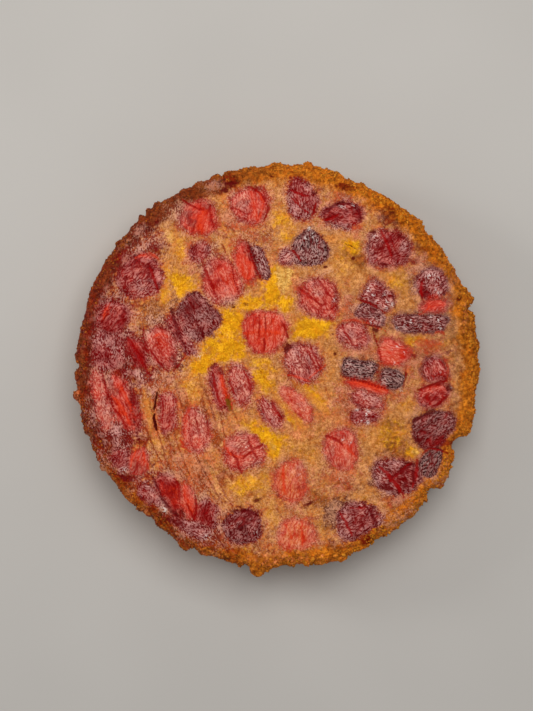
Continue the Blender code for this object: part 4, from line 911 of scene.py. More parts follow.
def shoulder(bearing, angle, inwards):
    """Points and outward directions round the shoulder, a quarter ellipse from the top (0) to the wall."""
    swell = edge_swell(bearing) * np.sin(angle) ** 2
    radius = wall_radius(bearing) - WALL_LEAN + swell - SHOULDER_IN * (1 - np.sin(angle)) - inwards
    height = TOP - SHOULDER_DOWN * (1 - np.cos(angle))
    east, north = np.cos(bearing), np.sin(bearing)
    point = np.stack([radius * east, radius * north, height], axis=-1)
    normal = np.stack([np.sin(angle) * east, np.sin(angle) * north, np.cos(angle)], axis=-1)
    return point, normal


def top_form(count):
    """The top as a bent disc grid: flat out to the shoulder, then round it. Gives points, directions and run.

    The run is the distance from the flat's edge along the surface: minus on the flat, plus on the shoulder.
    """
    share, bearing = (part.ravel() for part in disc_grid(count))
    flat = wall_radius(bearing) - WALL_LEAN - SHOULDER_IN
    arc = math.pi / 2 * (SHOULDER_IN + SHOULDER_DOWN) / 2
    run = share * (flat + arc) - flat
    angle = np.clip(run / arc, 0, 1) * math.pi / 2
    point, normal = shoulder(bearing, angle, np.clip(-run, 0, None))
    return point, normal, run


def run_at(plan):
    """How far plan points lie outside the flat of the top: minus on it, plus over the shoulder."""
    edge = wall_radius(np.arctan2(plan[:, 1], plan[:, 0])) - WALL_LEAN - SHOULDER_IN
    return np.hypot(plan[:, 0], plan[:, 1]) - edge


def top_surface(count):
    """The finished top: its form, moved outwards by the shared relief, with beds for the fruit."""
    point, normal, run = top_form(count)
    masks, height, outside = paint(point, run)
    height += fade_between(*CRUST_FADE, run) * crust_relief(point)
    bed = fade_between(0.2 * MM, -2.2 * MM, outside)
    height = height * (1 - bed) - 2.4 * MM * bed
    return point + normal * height[:, None], masks


def side_form(bearing, wall_rows, foot_rows):
    """Points and outward directions of wall and foot, row by row from the seam with the top downwards."""
    seam = TOP - SHOULDER_DOWN
    down = np.linspace(0, 1, wall_rows)[:, None]
    turn = np.linspace(0, math.pi / 2, foot_rows + 1)[1:, None]
    radius = wall_radius(bearing)[None, :]
    swell = edge_swell(bearing)[None, :]
    wall = radius - WALL_LEAN * (1 - down) + swell * (1 - 0.7 * down**0.5)
    ring = np.concatenate([wall, radius + 0.3 * swell - FOOT_IN * (1 - np.cos(turn))])
    height = np.concatenate([seam + (FOOT_UP - seam) * down, FOOT_UP * (1 - np.sin(turn))])
    out = np.concatenate([np.ones_like(down), np.cos(turn)])
    lift = np.concatenate([np.zeros_like(down), -np.sin(turn)])
    east, north = np.cos(bearing), np.sin(bearing)
    point = np.stack([ring * east, ring * north, height + 0 * ring], axis=-1)
    normal = np.stack([out * east, out * north, lift + 0 * ring], axis=-1)
    return point, normal


# Materials


def colour(red, green, blue):
    """A linear colour from sRGB values of 0 to 255."""
    share = [value / 255 for value in (red, green, blue)]
    return (*[s / 12.92 if s <= 0.04045 else ((s + 0.055) / 1.055) ** 2.4 for s in share], 1.0)


def add_node(tree, kind, values=None, **settings):
    """A new shader node: settings are its own fields, and values feed its inputs with numbers or sockets."""
    node = tree.nodes.new("ShaderNode" + kind)
    for field, value in settings.items():
        setattr(node, field, value)
    for name, value in (values or {}).items():
        if isinstance(value, bpy.types.NodeSocket):
            tree.links.new(value, node.inputs[name])
        else:
            node.inputs[name].default_value = value
    return node


def calculate(tree, operation, *numbers, clamp=True):
    """The outcome of one sum on numbers or sockets, kept between 0 and 1 unless clamp is off."""
    node = add_node(tree, "Math", dict(enumerate(numbers)), operation=operation, use_clamp=clamp)
    return node.outputs[0]


def read_mask(tree, name):
    """A mask that the piece's own points carry."""
    return add_node(tree, "Attribute", attribute_name=name).outputs["Fac"]


def blend(tree, share, under, over, blend_type="MIX"):
    """Under where share is 0 and over where it is 1."""
    node = add_node(tree, "Mix", {0: share, 6: under, 7: over}, data_type="RGBA", blend_type=blend_type)
    return node.outputs[2]


def shaded(tree, base, shade, share=1.0):
    """The base colour multiplied by a shade, as far as share says."""
    return blend(tree, share, base, shade, "MULTIPLY")


def times(tree, one, other):
    return calculate(tree, "MULTIPLY", one, other)


def remap(tree, value, low, high, to_low=0.0, to_high=1.0):
    """A smooth step of the value from one range to another."""
    values = {"Value": value, "From Min": low, "From Max": high, "To Min": to_low, "To Max": to_high}
    return add_node(tree, "MapRange", values, interpolation_type="SMOOTHSTEP").outputs[0]


def new_group(name, inputs, outputs):
    """A node group with these number inputs, at their defaults, and number outputs, and its two end nodes."""
    group = bpy.data.node_groups.new(name, "ShaderNodeTree")
    for label, default in inputs.items():
        socket = group.interface.new_socket(label, in_out="INPUT", socket_type="NodeSocketFloat")
        socket.default_value = default
    for label in outputs:
        group.interface.new_socket(label, in_out="OUTPUT", socket_type="NodeSocketFloat")
    return group, group.nodes.new("NodeGroupInput").outputs, group.nodes.new("NodeGroupOutput").inputs


def noise_at(tree, scale, detail=2.0, roughness=0.5, distortion=0.0, place=None):
    """Noise in the Object coordinates, or at another place, with its scale in cells to the metre."""
    if place is None:
        place = add_node(tree, "TexCoord").outputs["Object"]
    values = {"Vector": place, "Scale": scale, "Detail": detail}
    values |= {"Roughness": roughness, "Distortion": distortion}
    return add_node(tree, "TexNoise", values).outputs["Fac"]


def crumb_grain_group():
    """Fine crumb: Grain from dark pore (0) to pale crumb (1), and the Height that goes with it; the dark
    pores are partly painted shade.
    """
    group, start, end = new_group("Crumb grain", {"Scale": 900.0}, ("Grain", "Height"))
    coarse = noise_at(group, start["Scale"], detail=3.0, roughness=0.75)
    group.links.new(remap(group, coarse, 0.3, 0.68), end["Grain"])
    group.links.new(coarse, end["Height"])


def place_group(tree, name, **inputs):
    """The outputs of a shared node group, placed in a tree with these values for its inputs."""
    node = tree.nodes.new("ShaderNodeGroup")
    node.node_tree = bpy.data.node_groups[name]
    for label, value in inputs.items():
        node.inputs[label].default_value = value
    return node.outputs


def new_material(name):
    material = bpy.data.materials.new(name)
    material.use_nodes = True
    return material, material.node_tree, material.node_tree.nodes["Principled BSDF"]


def add_bump(tree, shader, height, distance):
    """Bump the shader's surface by a height, whose full range stands for this distance."""
    values = {"Height": height, "Distance": distance, "Strength": 1.0}
    tree.links.new(add_node(tree, "Bump", values).outputs["Normal"], shader.inputs["Normal"])


# Each colour of the top and the strength with which its mask lays it on, from the lowest upwards
TOP_CRUMB = colour(231, 157, 84)
RIM_WEST = colour(120, 34, 6)
TOP_LAYERS = (
    ("brown", colour(166, 92, 34), 0.9),
    ("gold", colour(248, 176, 22), 1.0),
    ("pink", colour(202, 86, 62), 0.8),
    ("purple", colour(102, 42, 42), 0.9),
    ("syrup", colour(134, 16, 4), 0.95),
    ("rim", colour(218, 126, 18), 0.9),
    ("rust", colour(134, 38, 4), 0.95),
    ("peach", colour(234, 136, 84), 0.85),
    ("streak", colour(160, 58, 6), 0.85),
    ("pale", colour(255, 200, 104), 1.0),
)
FLESH = colour(158, 4, 8)
FLESH_WARM = colour(220, 50, 20)
FLESH_ORANGE = colour(222, 110, 36)
SKIN = colour(66, 16, 18)
# Groove colours darken the flesh in its sunk fibres and folds: partly a deeper red, partly painted shade
GROOVE = colour(118, 0, 2)
GROOVE_WARM = colour(196, 26, 4)
OVER_LAYERS = (
    ("crimson", colour(140, 0, 2), 0.85),
    ("coral", colour(220, 58, 22), 0.7),
    ("band", colour(222, 60, 22), 0.8),
    # Mauve is partly the fruit's own colour and partly painted sheen
    ("mauve", colour(140, 60, 56), 0.55),
    ("ridge", colour(238, 152, 68), 0.7),
)
LINE_LAYERS = (
    ("crease", colour(154, 2, 2), 0.8),
    ("vein", colour(100, 4, 10), 0.75),
    # Dark spots: partly the bake's own dark marks, partly painted shade in holes
    ("dark", colour(104, 6, 6), 0.9),
    # Slits: dark painted shade inside them
    ("slit", colour(92, 10, 4), 1.0),
    ("olive", colour(136, 82, 18), 0.95),
)

# The shades of grain and of fine fibres, which multiply the colour under them: dark in the bump's pores and
# hollows and pale on its high points, partly the crumb's and flesh's own tone and partly painted shade and
# light.
# Then the colours of the painted glints and of the painted highlight spots
GRAIN_DARK = (0.66, 0.48, 0.3, 1.0)
GRAIN_GOLD = (0.94, 0.8, 0.5, 1.0)
GRAIN_PALE = (1.2, 1.28, 1.5, 1.0)
FIBRE_CRUMB = (0.89, 0.77, 0.63, 1.0)
FIBRE_DARK = (0.7, 0.26, 0.26, 1.0)
FIBRE_WARM = (0.84, 0.5, 0.42, 1.0)
FIBRE_PALE = (1.1, 1.2, 1.2, 1.0)
FIBRE_NONE = (1.0, 1.0, 1.0, 1.0)
GLINT_CRUMB = colour(224, 158, 120)
GLINT_MAUVE = colour(214, 148, 140)
GLINT_PEACH = colour(244, 162, 136)
GLINT_GREY = colour(200, 154, 146)
HIGHLIGHT_SPOT_COLOUR = colour(240, 226, 220)

# The darker and the paler shade of each plainer material
CRUST_SHADES = (colour(150, 78, 28), colour(206, 134, 52))
CRUMBS_EAST = (colour(150, 74, 14), colour(232, 148, 36))
CRUMBS_WEST = (colour(96, 32, 6), colour(190, 100, 28))
FLOOR_SHADES = (colour(190, 187, 183), colour(194, 191, 187))


def lay_over(tree, base, layers, ragged, softness):
    """The base colour under each layer's, whose edges follow ragged noise instead of fading evenly.

    The rim alone has two colours, and turns to the darker one in the west.
    """
    low = times(tree, ragged, 0.35)
    high = calculate(tree, "ADD", low, softness)
    for mask, tint, strength in layers:
        if mask == "rim":
            tint = blend(tree, read_mask(tree, "west"), tint, RIM_WEST)
        share = times(tree, remap(tree, read_mask(tree, mask), low, high), strength)
        base = blend(tree, share, base, tint)
    return base


def fibre_place(tree):
    """The place along and across the fibres of the fruit, or the strands of the juice."""
    parts = {"X": read_mask(tree, "along"), "Y": read_mask(tree, "across")}
    return add_node(tree, "CombineXYZ", parts).outputs[0]


def crumb_colour(tree, grain, ragged):
    """The sponge: its layers of colour, mottled, grained (its pores partly painted shade), and darkened in
    pits as painted shade where it is rim or brown.
    """
    base = lay_over(tree, TOP_CRUMB, TOP_LAYERS, ragged, softness=0.6)
    base = shaded(tree, base, remap(tree, noise_at(tree, scale=130.0, detail=4.0), 0.3, 0.7, 0.88, 1.1))
    speck = blend(tree, read_mask(tree, "gold"), GRAIN_DARK, GRAIN_GOLD)
    base = shaded(tree, base, blend(tree, grain, speck, GRAIN_PALE))
    rough = calculate(tree, "MAXIMUM", read_mask(tree, "rim"), read_mask(tree, "brown"))
    # Painted shade of pits: darker spots, with slightly paler crumb between them
    pits = remap(tree, noise_at(tree, scale=420.0), 0.44, 0.68, 1.14, 0.6)
    return blend(tree, rough, base, shaded(tree, base, pits))


def flesh_colour(tree, warm, skin):
    """The fruit: crimson to coral to orange by its warmth, dark where it is skin, mottled, and darker in
    grooves, partly as painted shade.
    """
    base = blend(tree, warm, FLESH, FLESH_WARM)
    base = blend(tree, calculate(tree, "SUBTRACT", warm, 1.0), base, FLESH_ORANGE)
    base = blend(tree, skin, base, SKIN)
    mottle = noise_at(tree, scale=420.0, detail=3.0, roughness=0.6, distortion=1.0)
    base = shaded(tree, base, remap(tree, mottle, 0.3, 0.7, 0.82, 1.12))
    hollow = blend(tree, warm, GROOVE, GROOVE_WARM)
    return blend(tree, times(tree, read_mask(tree, "groove"), 0.95), base, hollow)


def fleck_pattern(tree, cover, skin):
    """Fine pale flecks along the fibres, gathered in clumps, most on sponge, least on dark skin: they place
    painted shade, light and glints.
    """
    clumped = calculate(tree, "SUBTRACT", 1.0, times(tree, skin, 0.85))
    clumped = times(tree, clumped, remap(tree, cover, 0.0, 1.0, 0.8, 0.45))
    clumps = calculate(tree, "SUBTRACT", noise_at(tree, scale=170.0), 0.5, clamp=False)
    clumps = calculate(tree, "MULTIPLY_ADD", clumps, clumped, 0.35, clamp=False)
    fibres = noise_at(tree, scale=1250.0, detail=1.0, roughness=0.6, distortion=0.5, place=fibre_place(tree))
    return remap(tree, calculate(tree, "ADD", clumps, fibres, clamp=False), 0.77, 0.94)


def baked_colours_group():
    """The look that sponge top and fruit share: Color, Wet (0 crumb to 1 syrup or flesh), Shine, bump Height.

    Flesh is laid over crumb; fine flecks make both darker and paler, partly as painted shade and light;
    painted glints, pale reflections of light, gather on the flecks; and creases, veins and painted highlight
    spots lie over it all. Warm flesh is more even than the rest.
    """
    group, _, end = new_group("Baked colours", {}, ("Wet", "Shine", "Height"))
    group.interface.new_socket("Color", in_out="OUTPUT", socket_type="NodeSocketColor")
    cover, warm, skin, frost = (read_mask(group, name) for name in ("cover", "warm", "skin", "frost"))
    grain = place_group(group, "Crumb grain", Scale=520.0)
    ragged = remap(group, noise_at(group, scale=480.0, detail=3.0, roughness=0.6, distortion=0.6), 0.3, 0.7)
    crumb = crumb_colour(group, grain["Grain"], ragged)
    flesh = flesh_colour(group, warm, skin)
    base = blend(group, remap(group, cover, times(group, ragged, 0.3), 0.95), crumb, flesh)
    base = lay_over(group, base, OVER_LAYERS, ragged, softness=0.7)
    wet = calculate(group, "MAXIMUM", cover, read_mask(group, "syrup"))
    fleck = fleck_pattern(group, cover, skin)
    fresh = times(group, warm, cover)
    even = times(group, fresh, 0.4)
    fine = times(group, fleck, calculate(group, "SUBTRACT", 1.0, even))
    fine = calculate(group, "MULTIPLY_ADD", even, 0.5, fine)
    # Fine fibres darker in the bump's hollows and paler on its high points: partly the flesh's own fibres,
    # partly painted shade and light
    dark_fibre = blend(group, fresh, blend(group, wet, FIBRE_CRUMB, FIBRE_DARK), FIBRE_WARM)
    pale_fibre = blend(group, wet, FIBRE_NONE, FIBRE_PALE)
    base = shaded(group, base, blend(group, fine, dark_fibre, pale_fibre))
    # Painted glints: pale reflections of light mixed into the colour, strongest where the sheen lies
    glint = blend(group, wet, GLINT_CRUMB, blend(group, warm, GLINT_MAUVE, GLINT_PEACH))
    glint = blend(group, times(group, skin, cover), glint, GLINT_GREY)
    glint_strength = calculate(group, "MULTIPLY_ADD", frost, 1.12, 0.15)
    shine = times(group, times(group, fine, glint_strength), remap(group, frost, 0.0, 0.15))
    base = blend(group, shine, base, glint)
    base = lay_over(group, base, LINE_LAYERS, ragged, softness=0.55)
    # Painted highlights: near-white spots laid over the fine flecks, which also raise the gloss coat
    highlight_spot = times(group, read_mask(group, "highlight_spot"), remap(group, fleck, 0.5, 0.9))
    base = blend(group, highlight_spot, base, HIGHLIGHT_SPOT_COLOUR)
    shine = calculate(group, "MAXIMUM", shine, highlight_spot)
    height = calculate(group, "MULTIPLY_ADD", fine, 0.5, times(group, grain["Height"], 0.6))
    for label, socket in (("Color", base), ("Wet", wet), ("Shine", shine), ("Height", height)):
        group.links.new(socket, end[label])


def baked_material(name, bump, wet_roughness):
    """Sponge or fruit under the shared baked colours: matt where it is crumb, glossier where it is wet."""
    material, tree, shader = new_material(name)
    looks = place_group(tree, "Baked colours")
    tree.links.new(looks["Color"], shader.inputs["Base Color"])
    roughness = remap(tree, looks["Wet"], 0.0, 1.0, 0.65, wet_roughness)
    tree.links.new(roughness, shader.inputs["Roughness"])
    tree.links.new(times(tree, looks["Shine"], 0.3), shader.inputs["Coat Weight"])
    shader.inputs["Coat Roughness"].default_value = 0.15
    shader.inputs["Specular IOR Level"].default_value = 0.07
    add_bump(tree, shader, looks["Height"], bump)
    return material


def finish_grained(tree, shader, base, scale, share, roughness, bump):
    """Lay crumb grain of a scale over a base colour, darker in its low pores as partly painted shade, and
    give the shader that colour, roughness and bump.
    """
    grain = place_group(tree, "Crumb grain", Scale=scale)
    base = shaded(tree, base, remap(tree, grain["Grain"], 0.0, 1.0, 0.55, 1.2), share)
    tree.links.new(base, shader.inputs["Base Color"])
    shader.inputs["Roughness"].default_value = roughness
    add_bump(tree, shader, grain["Height"], bump)


def crust_material():
    """The baked side: orange-brown crust with darker pits, partly painted shade, and paler broken crumb."""
    material, tree, shader = new_material("Sponge crust")
    patches = remap(tree, noise_at(tree, scale=70.0, detail=4.0, roughness=0.6), 0.35, 0.65)
    base = blend(tree, patches, *CRUST_SHADES)
    finish_grained(tree, shader, base, scale=700.0, share=0.85, roughness=0.75, bump=0.9 * MM)
    return material


def crumb_material():
    """Loose crumbs: each its own shade of baked orange-brown by its tint, and redder to the west."""
    material, tree, shader = new_material("Loose crumbs")
    east = blend(tree, read_mask(tree, "tint"), *CRUMBS_EAST)
    west = blend(tree, read_mask(tree, "tint"), *CRUMBS_WEST)
    base = blend(tree, read_mask(tree, "west"), east, west)
    finish_grained(tree, shader, base, scale=1100.0, share=0.8, roughness=0.7, bump=0.4 * MM)
    shader.inputs["Specular IOR Level"].default_value = 0.14
    return material


def floor_material():
    """A plain pale floor with the faintest mottle."""
    material, tree, shader = new_material("Pale floor")
    mottle = remap(tree, noise_at(tree, scale=6.0), 0.3, 0.7)
    tree.links.new(blend(tree, mottle, *FLOOR_SHADES), shader.inputs["Base Color"])
    shader.inputs["Roughness"].default_value = 0.8
    return material


# Plum pieces

# The gloss of each slot's wet flesh, as roughness
PLUM_SLOTS = {"plum_coral": 0.26, "plum_crimson": 0.22, "plum_mauve": 0.3, "plum_skin": 0.2}

# How far a pale piece's edge reaches past the solid's, and what share of its radius noise adds to that
PLUM_GROWTH = 0.9 * MM
PLUM_RAGGED = 0.05


def plum_form(name, spacing, seed):
    """A plum piece's grid: its loop, a little grown and ragged, shrunk ring by ring to the middle."""
    loop, middle = PLUM_LOOPS[name]
    blunt = 1 - 0.7 * min(looks_of(name).dark, 1)
    radius = np.linalg.norm(loop - middle, axis=1).mean()
    count = 2 * math.ceil(radius / spacing) + 2
    share, bearing = disc_grid(count)
    first = math.atan2(loop[0, 1] - middle[1], loop[0, 0] - middle[0])
    rim = curve_through(loop, (bearing - first) / (2 * math.pi)) - middle
    ragged = PLUM_RAGGED * layered_noise(middle + rim, 4 * MM, seed)
    grown = 1 + blunt * (PLUM_GROWTH / radius + ragged)
    plan = middle + rim * (grown * share)[..., None]
    return plan.reshape(-1, 2), share.ravel(), count


def plum_surface(name, spacing):
    """The piece's points and masks: a low dome that dips under the sponge at its edge, and shared relief."""
    looks = looks_of(name)
    own_seeds = SEEDS_EACH * plum_number(name)
    plan, share, count = plum_form(name, spacing, FORM_SEEDS + own_seeds)
    flat = np.column_stack([plan, np.full(len(plan), TOP)])
    masks, relief, _ = paint(flat, run_at(plan))
    along = fibre_axes(plan, looks, PAINT_SEEDS + own_seeds)
    masks |= {"along": along[:, 0] / FRUIT_FINE_STRETCH, "across": along[:, 1]}
    dome = looks.lift * (1 - share**4) - 0.7 * fade_between(0.85, 1.0, share)
    swell = 0.35 * smooth_noise(plan, 8 * MM, FORM_SEEDS + own_seeds + 19) * (1 - share**2)
    flat[:, 2] += relief + (dome + swell) * MM
    return flat, masks, count


def ball_shape(sides, rings):
    """A small sphere's points and its faces, as four-sided and three-sided rows of point numbers."""
    rises = np.linspace(-math.pi / 2, math.pi / 2, rings + 1)[1:-1]
    turns = np.linspace(0, 2 * math.pi, sides, endpoint=False)
    rise, turn = np.meshgrid(rises, turns, indexing="ij")
    belt = np.stack([np.cos(rise) * np.cos(turn), np.cos(rise) * np.sin(turn), np.sin(rise)], axis=-1)
    points = np.concatenate([[[0, 0, -1]], belt.reshape(-1, 3), [[0, 0, 1]]])
    middle = 1 + np.arange(rise.size).reshape(rise.shape)
    beyond = np.roll(middle, -1, axis=1)
    foot = np.stack([np.zeros(sides, int), beyond[0], middle[0]], axis=1)
    head = np.stack([middle[-1], beyond[-1], np.full(sides, len(points) - 1)], axis=1)
    return points, grid_faces(middle, wrapped=True), np.concatenate([foot, head])


def crumb_shapes(count, seed):
    """Loose crumbs round the rim, joined in one mesh: lumpy low spheres of random size, place and turn.

    They gather where a noise along the rim is high, and each point is pushed in or out by its own share.
    """
    draw = np.random.default_rng(seed)
    ball, quads, triangles = ball_shape(sides=7, rings=4)
    bearing = draw.uniform(0, 2 * math.pi, 3 * count)
    along = CRUMB_CIRCLE * np.stack([np.cos(bearing), np.sin(bearing)], axis=1)
    gathered = smooth_noise(along, 7 * MM, seed) + draw.uniform(-0.8, 0.8, 3 * count)
    bearing = bearing[np.argsort(-gathered)[:count]]
    angle = np.radians(draw.uniform(10, 100, count))
    place, outward = shoulder(bearing, angle, 0)
    size = (0.3 + 0.9 * draw.uniform(0, 1, count) ** 2) * (1 - 0.4 * westward(place)) * MM
    relief = crumb_relief(place) + crust_relief(place)
    place = place + outward * (relief - 0.35 * size)[:, None]
    shape = ball[None] * (1 + 0.3 * draw.normal(size=(count, len(ball), 1)).clip(-1.5, 1.5))
    stretch = draw.uniform(0.6, 1.3, (count, 1, 3))
    points = place[:, None] + shape * stretch * size[:, None, None]
    shift = (np.arange(count) * len(ball))[:, None, None]
    faces = (quads[None] + shift).reshape(-1, 4).tolist()
    faces += (triangles[None] + shift).reshape(-1, 3).tolist()
    looks = {"tint": draw.uniform(0, 1, count), "west": westward(place)}
    masks = {label: np.repeat(values, len(ball)) for label, values in looks.items()}
    return points.reshape(-1, 3), faces, masks


# Settings, operators and panel


class SpongeSettings(bpy.types.PropertyGroup):
    top_points: bpy.props.IntProperty(
        name="Top points", description="Points across the top's grid, an even number", default=600, min=20
    )
    wall_points: bpy.props.IntProperty(
        name="Wall points", description="Points round the side", default=1200, min=48
    )
    crumbs: bpy.props.IntProperty(
        name="Loose crumbs", description="Crumbs along the rim", default=3200, min=1
    )
    skirt: bpy.props.FloatProperty(
        name="Skirt", description="How far the top's edge reaches down inside the side",
        default=3 * MM, unit="LENGTH",
    )


class PlumSettings(bpy.types.PropertyGroup):
    spacing: bpy.props.FloatProperty(
        name="Spacing", description="Distance between a plum piece's grid points",
        default=0.34 * MM, unit="LENGTH",
    )
    skirt: bpy.props.FloatProperty(
        name="Depth", description="How far a piece reaches down into its bed", default=3.5 * MM, unit="LENGTH"
    )


class StageSettings(bpy.types.PropertyGroup):
    camera_height: bpy.props.FloatProperty(
        name="Camera height", description="Height of the camera over the cake's top",
        default=1.0, unit="LENGTH",
    )
    ambient: bpy.props.FloatProperty(name="Ambient", description="Strength of the even light", default=0.36)
    overhead: bpy.props.FloatProperty(
        name="Overhead light", description="Power of the large soft light above", default=6.4, unit="POWER"
    )
    low: bpy.props.FloatProperty(
        name="Low light", description="Power of the lower light that shows the relief",
        default=2.2, unit="POWER",
    )


class CAKE_OT_top(bpy.types.Operator):
    """Build the sponge's top in four quarters, with beds for the plum pieces"""

    bl_idname = "cake.top"
    bl_label = "Sponge top"

    def execute(self, context):
        settings = context.scene.cake_sponge
        count = settings.top_points
        points, masks = top_surface(count)
        index = np.arange(count * count).reshape(count, count)
        half = count // 2
        material = baked_material("Sponge top", bump=0.7 * MM, wet_roughness=0.24)
        halves = (slice(0, half + 1), slice(half, count))
        for number, (rows, columns) in enumerate(product(halves, halves), 1):
            lid = new_lid(f"cake_top_{number}", index[rows, columns], points, settings.skirt, masks, material)
            seat(lid, "sponge", "cake")
        return {"FINISHED"}


class CAKE_OT_side(bpy.types.Operator):
    """Build the sponge's side and foot as one ring, and the base that shuts it"""

    bl_idname = "cake.side"
    bl_label = "Sponge side and base"

    wall_rows = 50
    foot_rows = 10
    base_points = 160
    base_height = 3 * MM
    wall_thickness = 4 * MM
    inner_foot_rise = 0.5 * MM
    inner_top_drop = 2 * MM

    def execute(self, context):
        count = context.scene.cake_sponge.wall_points
        bearing = np.linspace(0, 2 * math.pi, count, endpoint=False)
        form, normal = side_form(bearing, self.wall_rows, self.foot_rows)
        rough = crumb_relief(form) + crust_relief(form)
        settled = fade_between(0, 1.5 * MM, form[..., 2])
        points = form + normal * (rough * settled)[..., None]
        points[..., 2] = np.clip(points[..., 2], 0, None)
        material = crust_material()
        self.add_ring(points, material)
        self.add_base(material)
        return {"FINISHED"}

    def add_ring(self, points, material):
        """The outer surface and a plain inner wall behind it, joined at the top and the foot."""
        inner = points[[-1, 0]]
        outward = inner[..., :2] / np.linalg.norm(inner[..., :2], axis=-1, keepdims=True)
        inner[..., :2] -= self.wall_thickness * outward
        inner[:, :, 2] += np.array([self.inner_foot_rise, -self.inner_top_drop])[:, None]
        rings = np.concatenate([points, inner, points[:1]])
        index = np.arange(rings.shape[0] * rings.shape[1]).reshape(rings.shape[:2])
        index[-1] = index[0]
        faces = grid_faces(index, wrapped=True)[:, ::-1].tolist()
        side = new_piece("cake_side", rings[:-1].reshape(-1, 3), faces, {}, material)
        seat(side, "sponge", "cake")

    def add_base(self, material):
        """The flat underside: a bent disc grid just above z = 0 with slight relief, facing down."""
        share, bearing = disc_grid(self.base_points)
        radius = share * (wall_radius(bearing) - FOOT_IN + 0.4 * MM)
        flat = np.stack([radius * np.cos(bearing), radius * np.sin(bearing)], axis=-1).reshape(-1, 2)
        relief = 0.25 * MM * (1 + smooth_noise(flat, 5 * MM, seed=81)) * fade_between(1, 0.97, share.ravel())
        points = np.column_stack([flat, np.clip(relief, 0, None)])
        index = np.arange(share.size).reshape(share.shape)
        rim = edge_of(index)
        above = share.size + np.arange(len(rim))
        lifted = points[rim] + [0, 0, self.base_height]
        skirt = np.stack([rim, np.roll(rim, -1), np.roll(above, -1), above], axis=1)
        faces = grid_faces(index)[:, ::-1].tolist() + skirt.tolist() + [above.tolist()]
        base = new_piece("cake_base", np.concatenate([points, lifted]), faces, {}, material)
        seat(base, "sponge", "cake")


class CAKE_OT_crumbs(bpy.types.Operator):
    """Scatter loose crumbs over the rim"""

    bl_idname = "cake.crumbs"
    bl_label = "Loose crumbs"

    def execute(self, context):
        points, faces, masks = crumb_shapes(context.scene.cake_sponge.crumbs, seed=91)
        crumbs = new_piece("cake_crumbs", points, faces, masks, crumb_material())
        seat(crumbs, "sponge", "cake")
        return {"FINISHED"}


SLOT_OF_NODE = {row["node"]: row["material_slot"] for row in frame["record"]["subparts"]}


class CAKE_OT_plums(bpy.types.Operator):
    """Build every plum piece in its bed"""

    bl_idname = "cake.plums"
    bl_label = "Plum pieces"

    bump = 0.16 * MM

    def execute(self, context):
        settings = context.scene.cake_plums
        materials = {slot: baked_material(slot, self.bump, gloss) for slot, gloss in PLUM_SLOTS.items()}
        for name in PLUM_NODES:
            points, masks, count = plum_surface(name, settings.spacing)
            index = np.arange(count * count).reshape(count, count)
            slot_name = SLOT_OF_NODE[name]
            lid = new_lid(f"{name}_fruit", index, points, settings.skirt, masks, materials[slot_name])
            seat(lid, slot_name, name)
        return {"FINISHED"}


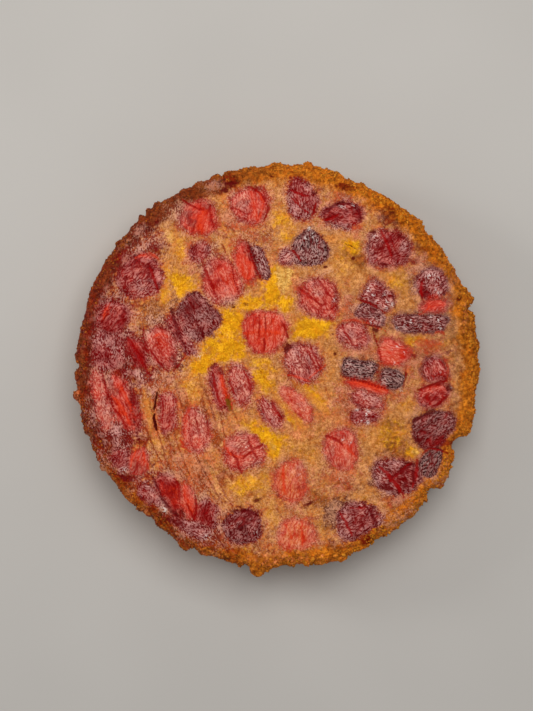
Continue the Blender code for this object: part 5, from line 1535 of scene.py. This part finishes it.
class CAKE_OT_stage(bpy.types.Operator):
    """Lay the floor, hang the lights and set the camera straight over the cake"""

    bl_idname = "cake.stage"
    bl_label = "Floor, lights and camera"

    floor_half = 1.5
    light_colour = (1.0, 0.98, 0.95)
    ambient_colour = (1.0, 0.98, 0.96, 1.0)
    sensor = 36

    def execute(self, context):
        settings = context.scene.cake_stage
        context.scene.view_settings.view_transform = "Standard"
        self.add_floor()
        self.add_ambient(context.scene, settings.ambient)
        self.add_light("Overhead", place=(0.1, 0.35, 1.0), size=0.7, power=settings.overhead)
        self.add_light("Low", place=(-0.9, 0.3, 0.5), size=0.25, power=settings.low)
        self.add_camera(context.scene, settings.camera_height)
        return {"FINISHED"}

    def add_floor(self):
        half = self.floor_half
        corners = [(-half, -half, 0), (half, -half, 0), (half, half, 0), (-half, half, 0)]
        mesh = bpy.data.meshes.new("Floor")
        mesh.from_pydata(corners, [], [(0, 1, 2, 3)])
        mesh.materials.append(floor_material())
        floor = bpy.data.objects.new("Floor", mesh)
        bpy.context.scene.collection.objects.link(floor)

    def add_ambient(self, scene, strength):
        world = bpy.data.worlds.new("Studio")
        world.use_nodes = True
        background = world.node_tree.nodes["Background"]
        background.inputs["Color"].default_value = self.ambient_colour
        background.inputs["Strength"].default_value = strength
        scene.world = world

    def add_light(self, name, place, size, power):
        """A square area light aimed at the cake's middle."""
        data = bpy.data.lights.new(name, "AREA")
        data.size = size
        data.energy = power
        data.color = self.light_colour
        light = bpy.data.objects.new(name, data)
        light.location = place
        light.rotation_euler = (Vector((0, 0, TOP)) - Vector(place)).to_track_quat("-Z", "Y").to_euler()
        bpy.context.scene.collection.objects.link(light)

    def add_camera(self, scene, height):
        """Straight down over the picture's middle, with the lens that gives its size on the cake's top."""
        data = bpy.data.cameras.new("Camera")
        data.sensor_fit = "VERTICAL"
        data.sensor_width = data.sensor_height = self.sensor
        data.lens = data.sensor_height * height / (IMAGE_HEIGHT * PIXEL)
        camera = bpy.data.objects.new("Camera", data)
        east, north = from_photo(IMAGE_WIDTH / 2, IMAGE_HEIGHT / 2)
        camera.location = (east, north, TOP + height)
        scene.collection.objects.link(camera)
        scene.camera = camera


class CAKE_PT_panel(bpy.types.Panel):
    """Lists the cake's parts in the 3D view's sidebar"""

    bl_label = "Plum upside-down cake"
    bl_idname = "CAKE_PT_panel"
    bl_space_type = "VIEW_3D"
    bl_region_type = "UI"
    bl_category = "Cake"

    def draw(self, context):
        for group in (context.scene.cake_sponge, context.scene.cake_plums, context.scene.cake_stage):
            for field in group.bl_rna.properties.keys():
                if field not in ("rna_type", "name"):
                    self.layout.prop(group, field)
        for step in STEPS:
            self.layout.operator(step.bl_idname)


STEPS = (CAKE_OT_top, CAKE_OT_side, CAKE_OT_crumbs, CAKE_OT_plums, CAKE_OT_stage)
SETTINGS = {"cake_sponge": SpongeSettings, "cake_plums": PlumSettings, "cake_stage": StageSettings}
CLASSES = (*SETTINGS.values(), *STEPS, CAKE_PT_panel)


def register():
    for each in CLASSES:
        bpy.utils.register_class(each)
    for field, group in SETTINGS.items():
        setattr(bpy.types.Scene, field, bpy.props.PointerProperty(type=group))


def unregister():
    for field in SETTINGS:
        delattr(bpy.types.Scene, field)
    for each in reversed(CLASSES):
        bpy.utils.unregister_class(each)


def main():
    register()
    crumb_grain_group()
    baked_colours_group()
    bpy.ops.cake.top()
    bpy.ops.cake.side()
    bpy.ops.cake.crumbs()
    bpy.ops.cake.plums()
    bpy.ops.cake.stage()


if __name__ == "__main__":
    main()
